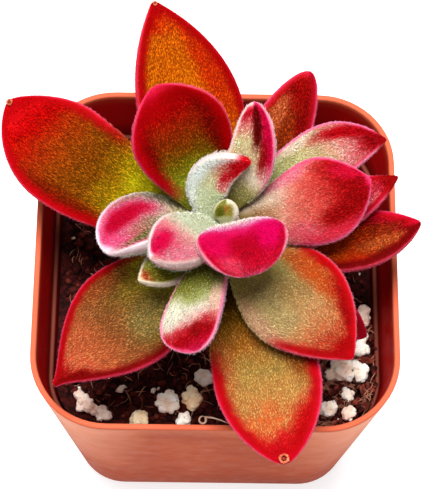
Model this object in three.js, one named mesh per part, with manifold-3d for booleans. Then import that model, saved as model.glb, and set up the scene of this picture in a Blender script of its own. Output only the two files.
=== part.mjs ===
// Potted echeveria: a rosette of thick, velvety, red-margined leaves on a short stem, rooted in dark
// peat mix with white perlite grains, in a square thin-walled plastic pot.
// Millimetres and degrees, +Z up, front towards -Y. The origin is the centre of the pot's flat base.

import * as THREE from 'three';
import { mergeVertices } from 'three/addons/utils/BufferGeometryUtils.js';
import Module from 'manifold-3d';

const wasm = await Module();
wasm.setup();

// Gap kept between pieces that touch
const GAP = 0.3;

// Cuts leave slivers along their edges. Those smaller than this are smoothed away.
const SLIVER = 0.03;

// Pot: rim and base are rounded squares, the wall is thinner above an inner ledge
const POT_HEIGHT = 57;
const RIM_WIDTH = 64;
const RIM_CORNER = 13.5;
const BASE_WIDTH = 53;
const BASE_CORNER = 9.5;
const BASE_EDGE = 1.5;
const LIP_THICKNESS = 1.0;
const LIP_ROUNDING = 0.3;
const WALL_THICKNESS = 1.8;
const FLOOR_THICKNESS = 1.8;
const LEDGE_DEPTH = 13.5;
const CORNER_STEPS = 5;
const DRAIN_RADIUS = 3.5;
const DRAIN_OFFSET = 13;
const DRAIN_SIDES = 16;

// Soil: fills the pot to just under the ledge, with a lumpy top
const SOIL_TOP = 42.6;
const SOIL_RELIEF = 0.45;
const SOIL_FINE_SHARE = 0.6;
const SOIL_RINGS = [1, 0.88, 0.74, 0.6, 0.46, 0.32, 0.18];

// Stem: the radius at each height, on an axis a little off the pot's centre
const STEM_X = 1.3;
const STEM_Y = 0.2;
const STEM_PROFILE = [
  { z: 32, radius: 2.6 },
  { z: 34, radius: 3.4 },
  { z: 56, radius: 3.4 },
  { z: 66, radius: 2.9 },
  { z: 73, radius: 2.2 },
  { z: 75, radius: 1.2 },
];
const STEM_SIDES = 12;

// Leaves, youngest first. Each one runs from its root on the stem to its tip.
//   heading      compass direction of the tip round the stem, anticlockwise from +X
//   from         direction of the root, where it differs from the heading
//   root, tip    heights of the two ends
//   reach        distance of the tip from the stem's axis
//   bow, sweep   how far the midrib's control point lies above and to the left of the straight line
//   width, thick largest width and thickness
//   cup          how far the edges rise, as a share of the half width
//   roll         turn about the leaf's own length, positive lifts its left edge
//   belly        where along the leaf it is widest
//   blunt        small for a round end, near 1 for a pointed one
const LEAVES = [
  { name: 'leaf_bud', heading: 90, from: 270, root: 75.9, reach: 0.5, tip: 80, width: 4.2, thick: 2.6,
    cup: 0.3, belly: 0.6, blunt: 0.5 },
  { name: 'leaf_centre_pale', heading: 53, from: 210, root: 73, reach: 6.5, tip: 84.5, bow: 1, sweep: 8.6,
    width: 7.2, thick: 5, cup: 0.3, roll: 13, belly: 0.47, blunt: 0.75 },
  { name: 'leaf_centre_pink', heading: 286.5, root: 73, reach: 14.7, tip: 83, bow: 9.2, width: 14.8,
    thick: 5, cup: 0.2, roll: -2, belly: 0.57, blunt: 0.55 },
  { name: 'leaf_upright_back', heading: 73.5, root: 73, reach: 14.6, tip: 89, bow: 2, sweep: -4,
    width: 7.8, thick: 4.6, cup: 0.5, belly: 0.47, blunt: 0.5 },
  { name: 'leaf_centre_left', heading: 225, root: 74, reach: 17.2, tip: 85, bow: 3, sweep: 1, width: 10,
    thick: 6, cup: 0.2, belly: 0.58, blunt: 0.7 },
  { name: 'leaf_right_coral', heading: 10, root: 71, reach: 24.1, tip: 81, bow: 3, sweep: -3.2,
    width: 14.5, thick: 5, cup: -0.05, roll: 20, belly: 0.62, blunt: 0.8 },
  { name: 'leaf_back_spoon', heading: 129, root: 71, reach: 19.2, tip: 92, bow: -3, sweep: -1.2,
    width: 16.8, thick: 4.5, cup: 0.2, roll: -12, belly: 0.68, blunt: 0.64 },
  { name: 'leaf_front_young', heading: 255, root: 71, reach: 26.8, tip: 79, bow: 3, sweep: 0.5, width: 9.3,
    thick: 5.5, cup: 0.3, roll: 12, belly: 0.82, blunt: 0.32 },
  { name: 'leaf_left_pink', heading: 207.5, root: 71, reach: 21.5, tip: 81, bow: 1, sweep: -5,
    width: 16.5, thick: 5, cup: 0.3, roll: 35, belly: 0.43, blunt: 0.57 },
  { name: 'leaf_left_green', heading: 222, root: 68, reach: 19.2, tip: 77, bow: 1, sweep: 1.8, width: 6.8,
    thick: 4, cup: 0.3, belly: 0.72, blunt: 0.92 },
  { name: 'leaf_right_upper', heading: 26.4, root: 66.5, reach: 30.3, tip: 76.5, bow: 4, sweep: 4.8,
    width: 10.3, thick: 4.6, cup: 0.35, belly: 0.65, blunt: 0.95 },
  { name: 'leaf_right_sage', heading: 310, root: 66, reach: 32.4, tip: 74, bow: 4, sweep: -0.1,
    width: 17.4, thick: 4.4, cup: 0.14, roll: 10, belly: 0.54, blunt: 0.9 },
  { name: 'leaf_left_large', heading: 150.6, root: 66, reach: 43, tip: 74, bow: 3, sweep: 7.6,
    width: 17.8, thick: 4.4, cup: 0.12, roll: -20, belly: 0.67, blunt: 0.75 },
  { name: 'leaf_back_tall', heading: 110, root: 66, reach: 37.2, tip: 84.5, bow: 2, sweep: -0.5,
    width: 19.2, thick: 4.2, cup: 0.15, roll: 15, belly: 0.49, blunt: 0.9 },
  { name: 'leaf_back_right', heading: 61.8, root: 62, reach: 30.7, tip: 75, bow: 2, sweep: -0.6, width: 11,
    thick: 4, cup: 0.2, belly: 0.46, blunt: 0.6 },
  { name: 'leaf_right_small', heading: 15, root: 64, reach: 30.2, tip: 74, bow: 2, sweep: -4, width: 11,
    thick: 3.6, cup: 0.2, belly: 0.42, blunt: 0.88 },
  { name: 'leaf_right_low', heading: 1.2, root: 62, reach: 33.2, tip: 71, bow: 1, sweep: -5.8,
    width: 10.5, thick: 4.2, cup: 0.2, belly: 0.67, blunt: 0.79 },
  { name: 'leaf_front_large', heading: 283.7, root: 61.5, reach: 42.5, tip: 69, bow: 4, sweep: 1.6,
    width: 17.8, thick: 4.4, cup: 0.1, roll: 10, belly: 0.64, blunt: 0.69 },
  { name: 'leaf_left_low', heading: 224.3, root: 63, reach: 39.4, tip: 66, bow: 4, sweep: -0.3,
    width: 18.8, thick: 4.4, cup: 0.1, belly: 0.54, blunt: 1.2 },
  { name: 'leaf_right_hidden', heading: 327.5, root: 57, reach: 29.3, tip: 59, bow: 2, sweep: -0.5,
    width: 8.5, thick: 4, cup: 0.1, belly: 0.7, blunt: 0.8 },
];
const LEAF_STATIONS = 13;
const LEAF_SIDES = 12;
const STATION_CROWDING = 1.15;
const ROOT_RADIUS = 2.4;
const NECK_WIDTH = 0.38;
const WIDTH_RISE = 1.6;
const WIDTH_FALL = 1.9;
const FACE_SHARE = 0.35;
const END_THICKNESS = 0.72;
const TIP_TAPER = 5;
const TIP_ROUNDING = 0.55;
const SECTION_POWER = 0.83;

// Perlite: the larger grains on the soil, as place and mean radius
const GRAINS = [
  { name: 'perlite_twin_left', x: -23.1, y: -23.3, radius: 1.6 },
  { name: 'perlite_twin_right', x: -20, y: -25.2, radius: 1.4 },
  { name: 'perlite_front_round', x: -13.3, y: -26.1, radius: 1.9 },
  { name: 'perlite_cluster_left', x: -8.1, y: -23.2, radius: 1.9 },
  { name: 'perlite_cluster_right', x: -4.1, y: -22.6, radius: 1.7 },
  { name: 'perlite_cluster_front', x: -5.3, y: -26.3, radius: 1.4 },
  { name: 'perlite_under_leaf', x: -2, y: -18.2, radius: 1.7 },
  { name: 'perlite_right_back', x: 27, y: -6.1, radius: 1.4 },
  { name: 'perlite_right_middle', x: 26.5, y: -12.4, radius: 1.5 },
  { name: 'perlite_right_pair', x: 22.6, y: -16.8, radius: 1.9 },
  { name: 'perlite_right_pair_end', x: 26.2, y: -17, radius: 1.5 },
  { name: 'perlite_right_small', x: 24, y: -21.2, radius: 1.2 },
  { name: 'perlite_right_front', x: 20.4, y: -23.8, radius: 1.8 },
  { name: 'perlite_right_corner', x: 23.9, y: -24.8, radius: 1.3 },
];
const GRAIN_SQUASH = 0.75;
const GRAIN_ROUGHNESS = 0.16;
const GRAIN_SUNK = 0.3;

const POT_COLOUR = 0xb85a3c;
const SOIL_COLOUR = 0x2b1a14;
const STEM_COLOUR = 0x7d8a4a;
const LEAF_COLOUR = 0xa8352a;
const PERLITE_COLOUR = 0xe9e2d6;

const radians = THREE.MathUtils.degToRad;
const mix = THREE.MathUtils.lerp;

// A closed body through rings of points: anticlockwise from above where the rings climb. The ends are
// closed with a fan to the two end points.
function loft(first, rings, last) {
  const sides = rings[0].length;
  const points = [first, ...rings.flat(), last];
  const end = points.length - 1;
  const at = (ring, side) => 1 + ring * sides + (side % sides);
  const faces = [];
  for (let side = 0; side < sides; side += 1) {
    faces.push(0, at(0, side + 1), at(0, side));
    for (let ring = 0; ring + 1 < rings.length; ring += 1) {
      faces.push(at(ring, side), at(ring, side + 1), at(ring + 1, side + 1));
      faces.push(at(ring, side), at(ring + 1, side + 1), at(ring + 1, side));
    }
    faces.push(at(rings.length - 1, side), at(rings.length - 1, side + 1), end);
  }
  const geometry = new THREE.BufferGeometry().setFromPoints(points);
  geometry.setIndex(faces);
  return geometry;
}

function toSolid(geometry) {
  const bare = geometry.clone();
  bare.deleteAttribute('normal');
  bare.deleteAttribute('uv');
  const merged = mergeVertices(bare, 1e-4);
  return new wasm.Manifold(new wasm.Mesh({
    numProp: 3,
    vertProperties: Float32Array.from(merged.attributes.position.array),
    triVerts: Uint32Array.from(merged.index.array),
  }));
}

function toGeometry(solid) {
  const mesh = solid.getMesh();
  const geometry = new THREE.BufferGeometry();
  geometry.setAttribute('position', new THREE.BufferAttribute(Float32Array.from(mesh.vertProperties), 3));
  geometry.setIndex(Array.from(mesh.triVerts));
  return geometry;
}

function largestPiece(solid) {
  const pieces = solid.asOriginal().simplify(SLIVER).decompose();
  return pieces.reduce((best, piece) => (piece.volume() > best.volume() ? piece : best));
}

function addMesh(group, name, solid, colour, roughness) {
  const material = new THREE.MeshStandardMaterial({ color: colour, roughness, metalness: 0 });
  const mesh = new THREE.Mesh(toGeometry(solid), material);
  mesh.name = name;
  group.add(mesh);
}

// The pot's outer outline at a height, moved inwards by an inset
function potRing(z, inset, share = 1) {
  const climb = z / POT_HEIGHT;
  const half = (mix(BASE_WIDTH, RIM_WIDTH, climb) / 2 - inset) * share;
  const corner = (mix(BASE_CORNER, RIM_CORNER, climb) - inset) * share;
  const ring = [];
  for (let quarter = 0; quarter < 4; quarter += 1) {
    const middle = radians(90 * quarter + 45);
    const x = Math.sign(Math.cos(middle)) * (half - corner);
    const y = Math.sign(Math.sin(middle)) * (half - corner);
    for (let step = 0; step <= CORNER_STEPS; step += 1) {
      const angle = radians(90 * (quarter + step / CORNER_STEPS));
      ring.push(new THREE.Vector3(x + corner * Math.cos(angle), y + corner * Math.sin(angle), z));
    }
  }
  return ring;
}

function buildPot() {
  const ledge = POT_HEIGHT - LEDGE_DEPTH;
  const shell = loft(
    new THREE.Vector3(0, 0, 0),
    [
      potRing(0, BASE_EDGE),
      potRing(BASE_EDGE * 0.3, BASE_EDGE * 0.3),
      potRing(BASE_EDGE, 0),
      potRing(POT_HEIGHT - LIP_ROUNDING, 0),
      potRing(POT_HEIGHT, LIP_ROUNDING),
      potRing(POT_HEIGHT, LIP_THICKNESS - LIP_ROUNDING),
      potRing(POT_HEIGHT - LIP_ROUNDING, LIP_THICKNESS),
      potRing(ledge, LIP_THICKNESS),
      potRing(ledge, WALL_THICKNESS),
      potRing(FLOOR_THICKNESS, WALL_THICKNESS),
    ],
    new THREE.Vector3(0, 0, FLOOR_THICKNESS),
  );
  let pot = toSolid(shell);
  for (const x of [-DRAIN_OFFSET, DRAIN_OFFSET]) {
    for (const y of [-DRAIN_OFFSET, DRAIN_OFFSET]) {
      const drill = new THREE.CylinderGeometry(DRAIN_RADIUS, DRAIN_RADIUS, 3 * FLOOR_THICKNESS, DRAIN_SIDES);
      drill.rotateX(Math.PI / 2);
      drill.translate(x, y, FLOOR_THICKNESS / 2);
      pot = pot.subtract(toSolid(drill));
    }
  }
  return pot;
}

function soilHeight(x, y) {
  const broad = Math.sin(0.42 * x + 1.3) * Math.cos(0.37 * y - 0.4);
  const fine = Math.sin(0.9 * x - 0.7 * y);
  return SOIL_TOP + SOIL_RELIEF * (broad + SOIL_FINE_SHARE * fine);
}

function buildSoil() {
  const inset = WALL_THICKNESS + GAP;
  const floor = FLOOR_THICKNESS + GAP;
  const top = SOIL_RINGS.map((share) => potRing(SOIL_TOP, inset, share));
  top.flat().forEach((point) => point.setZ(soilHeight(point.x, point.y)));
  const rings = [potRing(floor, inset), ...top];
  return toSolid(loft(new THREE.Vector3(0, 0, floor), rings, new THREE.Vector3(0, 0, soilHeight(0, 0))));
}

function buildStem(grow = 0) {
  const lowest = STEM_PROFILE[0].z - grow;
  const highest = STEM_PROFILE[STEM_PROFILE.length - 1].z + grow;
  const profile = STEM_PROFILE.map(({ z, radius }) => new THREE.Vector2(radius + grow, z));
  profile[0].y = lowest;
  profile[profile.length - 1].y = highest;
  const outline = [new THREE.Vector2(0, lowest), ...profile, new THREE.Vector2(0, highest)];
  const geometry = new THREE.LatheGeometry(outline, STEM_SIDES);
  geometry.rotateX(Math.PI / 2);
  geometry.translate(STEM_X, STEM_Y, 0);
  return toSolid(geometry);
}

// Half the leaf's width along its length, as a share of the largest half width
function widthAt(along, belly, blunt) {
  if (along < belly) {
    const rise = Math.sin((Math.PI / 2) * (along / belly)) ** WIDTH_RISE;
    return NECK_WIDTH + (1 - NECK_WIDTH) * rise;
  }
  return (1 - ((along - belly) / (1 - belly)) ** WIDTH_FALL) ** blunt;
}

function thicknessAt(along) {
  const body = END_THICKNESS + (1 - END_THICKNESS) * Math.sin(Math.PI * along);
  return body * (1 - along ** TIP_TAPER) ** TIP_ROUNDING;
}

function signedPower(value, power) {
  return Math.sign(value) * Math.abs(value) ** power;
}

// One leaf as a closed body. Its midrib is a quadratic curve, and its sections are full ovals, flatter
// on the upper face, with the edges lifted by the cup. grow makes it larger all round.
function buildLeaf(leaf, grow = 0) {
  const { heading, from = heading, root, tip, reach, bow = 0, sweep = 0, roll = 0 } = leaf;
  const up = new THREE.Vector3(0, 0, 1);
  const outward = new THREE.Vector3(Math.cos(radians(heading)), Math.sin(radians(heading)), 0);
  const left = new THREE.Vector3().crossVectors(up, outward);
  const start = new THREE.Vector3(
    STEM_X + ROOT_RADIUS * Math.cos(radians(from)),
    STEM_Y + ROOT_RADIUS * Math.sin(radians(from)),
    root,
  );
  const end = new THREE.Vector3(STEM_X, STEM_Y, tip).addScaledVector(outward, reach);
  const chord = new THREE.Vector3().subVectors(end, start).normalize();
  const control = new THREE.Vector3().addVectors(start, end).multiplyScalar(0.5);
  control.addScaledVector(up, bow).addScaledVector(left, sweep);
  const midrib = new THREE.QuadraticBezierCurve3(start, control, end);
  const sideways = left.clone().applyAxisAngle(chord, radians(roll));

  const rings = [];
  for (let station = 0; station < LEAF_STATIONS; station += 1) {
    const along = 1 - (1 - station / LEAF_STATIONS) ** STATION_CROWDING;
    const centre = midrib.getPoint(along);
    const forward = midrib.getTangent(along);
    const normal = new THREE.Vector3().crossVectors(forward, sideways).normalize();
    const across = new THREE.Vector3().crossVectors(normal, forward);
    const halfWidth = (widthAt(along, leaf.belly, leaf.blunt) * leaf.width) / 2;
    const thickness = thicknessAt(along) * leaf.thick;
    const ring = [];
    for (let side = 0; side < LEAF_SIDES; side += 1) {
      const angle = (2 * Math.PI * side) / LEAF_SIDES;
      const reachAcross = signedPower(Math.cos(angle), SECTION_POWER);
      const rise = signedPower(Math.sin(angle), SECTION_POWER);
      const faceShare = rise > 0 ? FACE_SHARE : 1 - FACE_SHARE;
      const lift = leaf.cup * halfWidth * reachAcross ** 2 + rise * (thickness * faceShare + grow);
      ring.push(
        centre.clone()
          .addScaledVector(across, reachAcross * (halfWidth + grow))
          .addScaledVector(normal, lift),
      );
    }
    rings.push(ring);
  }
  const heel = start.clone().addScaledVector(chord, -grow);
  const point = end.clone().addScaledVector(chord, grow);
  return toSolid(loft(heel, rings, point));
}

// A grain is a ball whose corners are drawn in and out at random. The same seed gives the same grain.
function buildGrain(grain, seed, grow = 0) {
  const ball = new THREE.IcosahedronGeometry(1, 1);
  ball.deleteAttribute('normal');
  ball.deleteAttribute('uv');
  const geometry = mergeVertices(ball);
  const place = geometry.attributes.position;
  THREE.MathUtils.seededRandom(seed);
  const middle = soilHeight(grain.x, grain.y) + grain.radius * (GRAIN_SQUASH - GRAIN_SUNK);
  for (let i = 0; i < place.count; i += 1) {
    const x = place.getX(i);
    const y = place.getY(i);
    const z = place.getZ(i);
    const draw = 2 * THREE.MathUtils.seededRandom() - 1;
    const size = grain.radius * (1 + GRAIN_ROUGHNESS * draw) + grow;
    place.setXYZ(i, grain.x + size * x, grain.y + size * y, middle + size * z * GRAIN_SQUASH);
  }
  return toSolid(geometry);
}

const plant = new THREE.Group();
plant.name = 'potted_echeveria';

addMesh(plant, 'pot', buildPot(), POT_COLOUR, 0.5);

let soil = buildSoil().subtract(buildStem(GAP));
GRAINS.forEach((grain, index) => {
  addMesh(plant, grain.name, buildGrain(grain, index + 1), PERLITE_COLOUR, 0.9);
  soil = soil.subtract(buildGrain(grain, index + 1, GAP / GRAIN_SQUASH));
});
addMesh(plant, 'soil', largestPiece(soil), SOIL_COLOUR, 1);
addMesh(plant, 'stem', buildStem(), STEM_COLOUR, 0.8);

// Young leaves keep their form, and each older one is hollowed where it would press into them
let crown = buildStem(GAP);
for (const leaf of LEAVES) {
  addMesh(plant, leaf.name, largestPiece(buildLeaf(leaf).subtract(crown)), LEAF_COLOUR, 0.7);
  crown = crown.add(buildLeaf(leaf, GAP));
}

export default plant;
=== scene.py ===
import math
import random

import bmesh
import bpy
import numpy as np
from mathutils import Matrix, Vector, noise


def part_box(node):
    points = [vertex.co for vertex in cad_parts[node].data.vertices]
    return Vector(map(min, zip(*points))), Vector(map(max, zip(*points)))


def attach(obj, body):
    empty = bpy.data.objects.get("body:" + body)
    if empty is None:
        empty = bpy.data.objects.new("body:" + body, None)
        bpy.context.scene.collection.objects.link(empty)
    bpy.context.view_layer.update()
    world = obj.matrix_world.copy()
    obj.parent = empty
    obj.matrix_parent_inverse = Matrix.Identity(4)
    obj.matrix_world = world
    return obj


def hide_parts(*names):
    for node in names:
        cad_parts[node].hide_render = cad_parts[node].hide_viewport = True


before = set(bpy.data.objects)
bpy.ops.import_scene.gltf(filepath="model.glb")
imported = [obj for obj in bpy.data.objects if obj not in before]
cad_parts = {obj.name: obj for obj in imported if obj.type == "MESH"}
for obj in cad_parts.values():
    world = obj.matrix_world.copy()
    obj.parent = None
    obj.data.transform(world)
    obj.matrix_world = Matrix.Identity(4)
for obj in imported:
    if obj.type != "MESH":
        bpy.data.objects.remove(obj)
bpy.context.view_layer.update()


# Camera
# A long lens looks down steeply from in front of the pot, turned and leaning a little, as in the photograph.
# Sizes below are in millimetres, and MM turns them into metres.
MM = 0.001
CAMERA_PLACE = (-3.5, -118.0, 351.2)
CAMERA_PITCH = 67.8
CAMERA_TURN = -1.3
CAMERA_LEAN = 2.0
CAMERA_LENS = 132.3
CAMERA_SENSOR = 36
CAMERA_NEAREST = 10
CAMERA_FURTHEST = 20000

camera = bpy.data.objects.new("camera", bpy.data.cameras.new("camera"))
bpy.context.collection.objects.link(camera)
camera.data.lens = CAMERA_LENS
camera.data.sensor_width = CAMERA_SENSOR
camera.data.clip_start = CAMERA_NEAREST * MM
camera.data.clip_end = CAMERA_FURTHEST * MM
turned = Matrix.Rotation(math.radians(CAMERA_TURN), 4, "Z")
tipped = Matrix.Rotation(math.radians(90 - CAMERA_PITCH), 4, "X")
leaned = Matrix.Rotation(math.radians(CAMERA_LEAN), 4, "Z")
camera.matrix_world = Matrix.Translation(Vector(CAMERA_PLACE) * MM) @ turned @ tipped @ leaned
bpy.context.scene.camera = camera


# Pot
# One square pot with rounded corners and a thin wall, moulded in one shot from terracotta-coloured plastic.
# The wall steps in at a ledge below the rim, and four holes in the floor let water out.
POT_HEIGHT = 57
RIM_WIDTH = 64
RIM_CORNER = 13.5
BASE_WIDTH = 53
BASE_CORNER = 9.5
BASE_EDGE = 1.5
LIP_THICKNESS = 1.0
LIP_ROUNDING = 0.3
LIP_DEPTH = 1.2
WALL_THICKNESS = 1.8
FLOOR_THICKNESS = 1.8
LEDGE_HEIGHT = 43.5
LEDGE_EDGE = 0.3
LEDGE_ROUNDING = 0.2
CORNER_STEPS = 14
WALL_STEPS = 8
BASE_TURNS = (90, 68, 45, 22, 0)
LIP_TURNS = (0, 30, 60, 90)
WALL_LEVELS = (8, 20, 32, 44, 52, 55.5)
LINING_LEVELS = (54, 50, 46)
LOWER_LINING_LEVEL = 20
OUTSIDE, ON_LIP, BELOW_LIP, INSIDE = 0, 0.5, 0.9, 1
DRAIN_RADIUS = 3.5
DRAIN_OFFSET = 13
DRAIN_SIDES = 40
DRILL_LENGTH = 6


def mix(first, second, share):
    return first + (second - first) * share


def pot_outline(height, inset):
    """The pot's rounded square at a height, moved inwards by an inset, anticlockwise from above."""
    climb = height / POT_HEIGHT
    half = mix(BASE_WIDTH, RIM_WIDTH, climb) / 2 - inset
    corner = mix(BASE_CORNER, RIM_CORNER, climb) - inset
    points = []
    for quarter in range(4):
        middle = math.radians(90 * quarter + 45)
        x = math.copysign(half - corner, math.cos(middle))
        y = math.copysign(half - corner, math.sin(middle))
        for step in range(CORNER_STEPS + 1):
            angle = math.radians(90 * (quarter + step / CORNER_STEPS))
            points.append(Vector((x + corner * math.cos(angle), y + corner * math.sin(angle), height)))
    outline = []
    for index, point in enumerate(points):
        outline.append(point)
        following = points[(index + 1) % len(points)]
        if index % (CORNER_STEPS + 1) == CORNER_STEPS:
            for step in range(1, WALL_STEPS):
                outline.append(point.lerp(following, step / WALL_STEPS))
    return outline


def deselect_all():
    if bpy.context.mode != "OBJECT":
        bpy.ops.object.mode_set(mode="OBJECT")
    bpy.ops.object.select_all(action="DESELECT")


def raise_walls(name, outlines, marks=None):
    """A closed body drawn up from a flat ring, which is extruded once for each further outline."""
    deselect_all()
    bpy.ops.mesh.primitive_circle_add(vertices=len(outlines[0]), radius=1, fill_type="NGON")
    body = bpy.context.object
    body.name = body.data.name = name
    bpy.ops.object.mode_set(mode="EDIT")
    sheet = bmesh.from_edit_mesh(body.data)
    place = sheet.verts.layers.int.new("place")
    mark = sheet.verts.layers.float.new("inside")
    turn = 2 * math.pi / len(outlines[0])
    for corner in sheet.verts:
        corner[place] = round(math.atan2(corner.co.y, corner.co.x) / turn) % len(outlines[0])
        corner.co = outlines[0][corner[place]] * MM
    floor = sheet.faces[:]
    if floor[0].normal.z > 0:
        bmesh.ops.reverse_faces(sheet, faces=floor)
    ring = sheet.edges[:]
    for level, outline in enumerate(outlines[1:], 1):
        drawn = bmesh.ops.extrude_edge_only(sheet, edges=ring)["geom"]
        ring = [part for part in drawn if isinstance(part, bmesh.types.BMEdge)]
        for corner in {corner for edge in ring for corner in edge.verts}:
            corner.co = outline[corner[place]] * MM
            corner[mark] = marks[level] if marks else 0
        ring = [edge for edge in ring if edge.is_boundary]
    bmesh.ops.contextual_create(sheet, geom=ring)
    bmesh.ops.recalc_face_normals(sheet, faces=sheet.faces[:])
    bmesh.update_edit_mesh(body.data)
    bpy.ops.object.mode_set(mode="OBJECT")
    body.data.attributes.remove(body.data.attributes["place"])
    return body


def dress(body, finish, angle):
    """One finish all over, shaded smooth where faces meet at less than an angle in degrees."""
    deselect_all()
    body.select_set(True)
    bpy.context.view_layer.objects.active = body
    bpy.ops.object.shade_smooth_by_angle(angle=math.radians(angle))
    body.data.materials.clear()
    body.data.materials.append(finish)


def set_in_place(piece, slot, *nodes):
    """Fixes a piece to the object's root and hides the frame's nodes that it stands for. The slot is not
    used.
    """
    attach(piece, "root")
    if nodes:
        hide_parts(*nodes)


def start_finish(name, amounts):
    """A material with its node tree and its shader, which has the amounts that are the same all over."""
    finish = bpy.data.materials.new(name)
    finish.use_nodes = True
    tree = finish.node_tree
    tree.nodes.clear()
    shader = tree.nodes.new("ShaderNodeBsdfPrincipled")
    output = tree.nodes.new("ShaderNodeOutputMaterial")
    tree.links.new(shader.outputs["BSDF"], output.inputs["Surface"])
    for socket, amount in amounts.items():
        shader.inputs[socket].default_value = amount
    return finish, tree, shader


def feed(tree, socket, value):
    if isinstance(value, bpy.types.NodeSocket):
        tree.links.new(value, socket)
    else:
        socket.default_value = value


def seen(red, green, blue):
    """A colour as seen on a screen, in steps of 255, turned into the amounts of light that nodes take."""
    return (*(((step / 255 + 0.055) / 1.055) ** 2.4 for step in (red, green, blue)), 1)


POT_HIGH = seen(168, 72, 36)
POT_LOW = seen(160, 66, 34)
POT_PATCH = seen(142, 50, 22)
# POT_PALE serves for pale smudges in the plastic and for painted highlights at the corners, along the top and
# on the ledge.
POT_PALE = seen(228, 150, 118)
POT_LIP = seen(178, 82, 56)
# The three inside colours below are painted shade: the same plastic, coloured darker where little light
# reaches.
POT_SHADED_LINING = seen(166, 12, 12)
POT_DEEP_SHADE = seen(132, 3, 6)
POT_SHADED_FOOT = seen(72, 2, 4)


def grain(tree, size, detail=3, stretch=(1, 1, 1), rough=0.5):
    """Cloudy noise through the body, with patches of a size in millimetres."""
    where = tree.nodes.new("ShaderNodeTexCoord")
    scaled = tree.nodes.new("ShaderNodeMapping")
    scaled.inputs["Scale"].default_value = [1 / part for part in stretch]
    cloud = tree.nodes.new("ShaderNodeTexNoise")
    cloud.inputs["Scale"].default_value = 1 / (size * MM)
    cloud.inputs["Detail"].default_value = detail
    cloud.inputs["Roughness"].default_value = rough
    tree.links.new(where.outputs["Object"], scaled.inputs["Vector"])
    tree.links.new(scaled.outputs["Vector"], cloud.inputs["Vector"])
    return cloud.outputs["Fac"]


def spread(tree, value, low, high, to_low=0.0, to_high=1.0):
    ranged = tree.nodes.new("ShaderNodeMapRange")
    feed(tree, ranged.inputs["Value"], value)
    for name, limit in (("From Min", low), ("From Max", high), ("To Min", to_low), ("To Max", to_high)):
        ranged.inputs[name].default_value = limit
    return ranged.outputs["Result"]


def blend(tree, share, first, second, way="MIX"):
    mixer = tree.nodes.new("ShaderNodeMix")
    mixer.data_type = "RGBA"
    mixer.blend_type = way
    feed(tree, mixer.inputs[0], share)
    feed(tree, mixer.inputs[6], first)
    feed(tree, mixer.inputs[7], second)
    return mixer.outputs[2]


def sums(tree, operation, first, second):
    step = tree.nodes.new("ShaderNodeMath")
    step.operation = operation
    feed(tree, step.inputs[0], first)
    feed(tree, step.inputs[1], second)
    return step.outputs["Value"]


def carried(tree, name, output="Fac"):
    """A value or colour that the mesh itself carries."""
    reader = tree.nodes.new("ShaderNodeAttribute")
    reader.attribute_name = name
    return reader.outputs[output]


def roughen(tree, shader, height, depth, strength=1.0):
    """Low relief, with a depth in millimetres."""
    relief = tree.nodes.new("ShaderNodeBump")
    relief.inputs["Strength"].default_value = strength
    relief.inputs["Distance"].default_value = depth * MM
    feed(tree, relief.inputs["Height"], height)
    tree.links.new(relief.outputs["Normal"], shader.inputs["Normal"])


def distance_along(tree, axis):
    """How far a point of the piece lies along an axis, in metres."""
    where = tree.nodes.new("ShaderNodeTexCoord")
    parts = tree.nodes.new("ShaderNodeSeparateXYZ")
    tree.links.new(where.outputs["Object"], parts.inputs["Vector"])
    return parts.outputs[axis]


def pot_plastic():
    """Terracotta-coloured plastic with cloudy patches and flow marks. The outside has painted highlights,
    paler at the corners and along the top; the inside is a darker red as painted shade, with a painted glint
    along the ledge.
    """
    finish, tree, shader = start_finish("pot_plastic", {"Specular IOR Level": 0.02})
    height = distance_along(tree, "Z")
    aside = sums(tree, "ABSOLUTE", distance_along(tree, "X"), 0.0)
    ahead = sums(tree, "ABSOLUTE", distance_along(tree, "Y"), 0.0)
    patches = spread(tree, grain(tree, 11, detail=4, stretch=(1, 1, 1.2), rough=0.55), 0.4, 0.62)
    smudges = spread(tree, grain(tree, 3.5, detail=4, stretch=(1.3, 1.3, 1), rough=0.6), 0.5, 0.74)
    wall = blend(tree, spread(tree, height, 6 * MM, 40 * MM), POT_LOW, POT_HIGH)
    wall = blend(tree, sums(tree, "MULTIPLY", patches, 0.5), wall, POT_PATCH)
    wall = blend(tree, sums(tree, "MULTIPLY", smudges, 0.1), wall, POT_PALE)
    # Painted highlight: the outer wall turns paler towards its rounded corners, higher up.
    beside = spread(tree, sums(tree, "MINIMUM", aside, ahead), 11 * MM, 24 * MM)
    corner = sums(tree, "MULTIPLY", beside, spread(tree, height, 12 * MM, 52 * MM))
    wall = blend(tree, sums(tree, "MULTIPLY", corner, 0.8), wall, POT_PALE)
    # Painted highlight: the outer wall turns a little paler along its top, below the lip.
    wall = blend(tree, spread(tree, height, 50 * MM, 56 * MM, 0, 0.22), wall, POT_PALE)
    # Painted shade: the inside wall is coloured a darker, mottled red, and darker still from 48 mm down to 44
    # mm towards the soil.
    shaded_lining = blend(tree, spread(tree, grain(tree, 14), 0.35, 0.7), POT_SHADED_LINING, POT_DEEP_SHADE)
    shaded_lining = blend(tree, spread(tree, height, 48 * MM, 44 * MM), shaded_lining, POT_SHADED_FOOT)
    # Painted highlight: a faint pale line along the ledge, for the glint of light on its edge.
    from_ledge = sums(tree, "ABSOLUTE", sums(tree, "SUBTRACT", height, LEDGE_HEIGHT * MM), 0.0)
    shaded_lining = blend(tree, spread(tree, from_ledge, 0.3 * MM, 0.1 * MM, 0, 0.1), shaded_lining, POT_PALE)
    inside = carried(tree, "inside")
    colour = blend(tree, spread(tree, inside, 0.0, 0.5), wall, POT_LIP)
    colour = blend(tree, spread(tree, inside, 0.5, 1.0), colour, shaded_lining)
    feed(tree, shader.inputs["Base Color"], colour)
    feed(tree, shader.inputs["Roughness"], spread(tree, grain(tree, 3, detail=4), 0.3, 0.7, 0.42, 0.58))
    roughen(tree, shader, grain(tree, 1.6, detail=5, stretch=(1.5, 1.5, 1)), 0.1, 0.35)
    return finish


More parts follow.
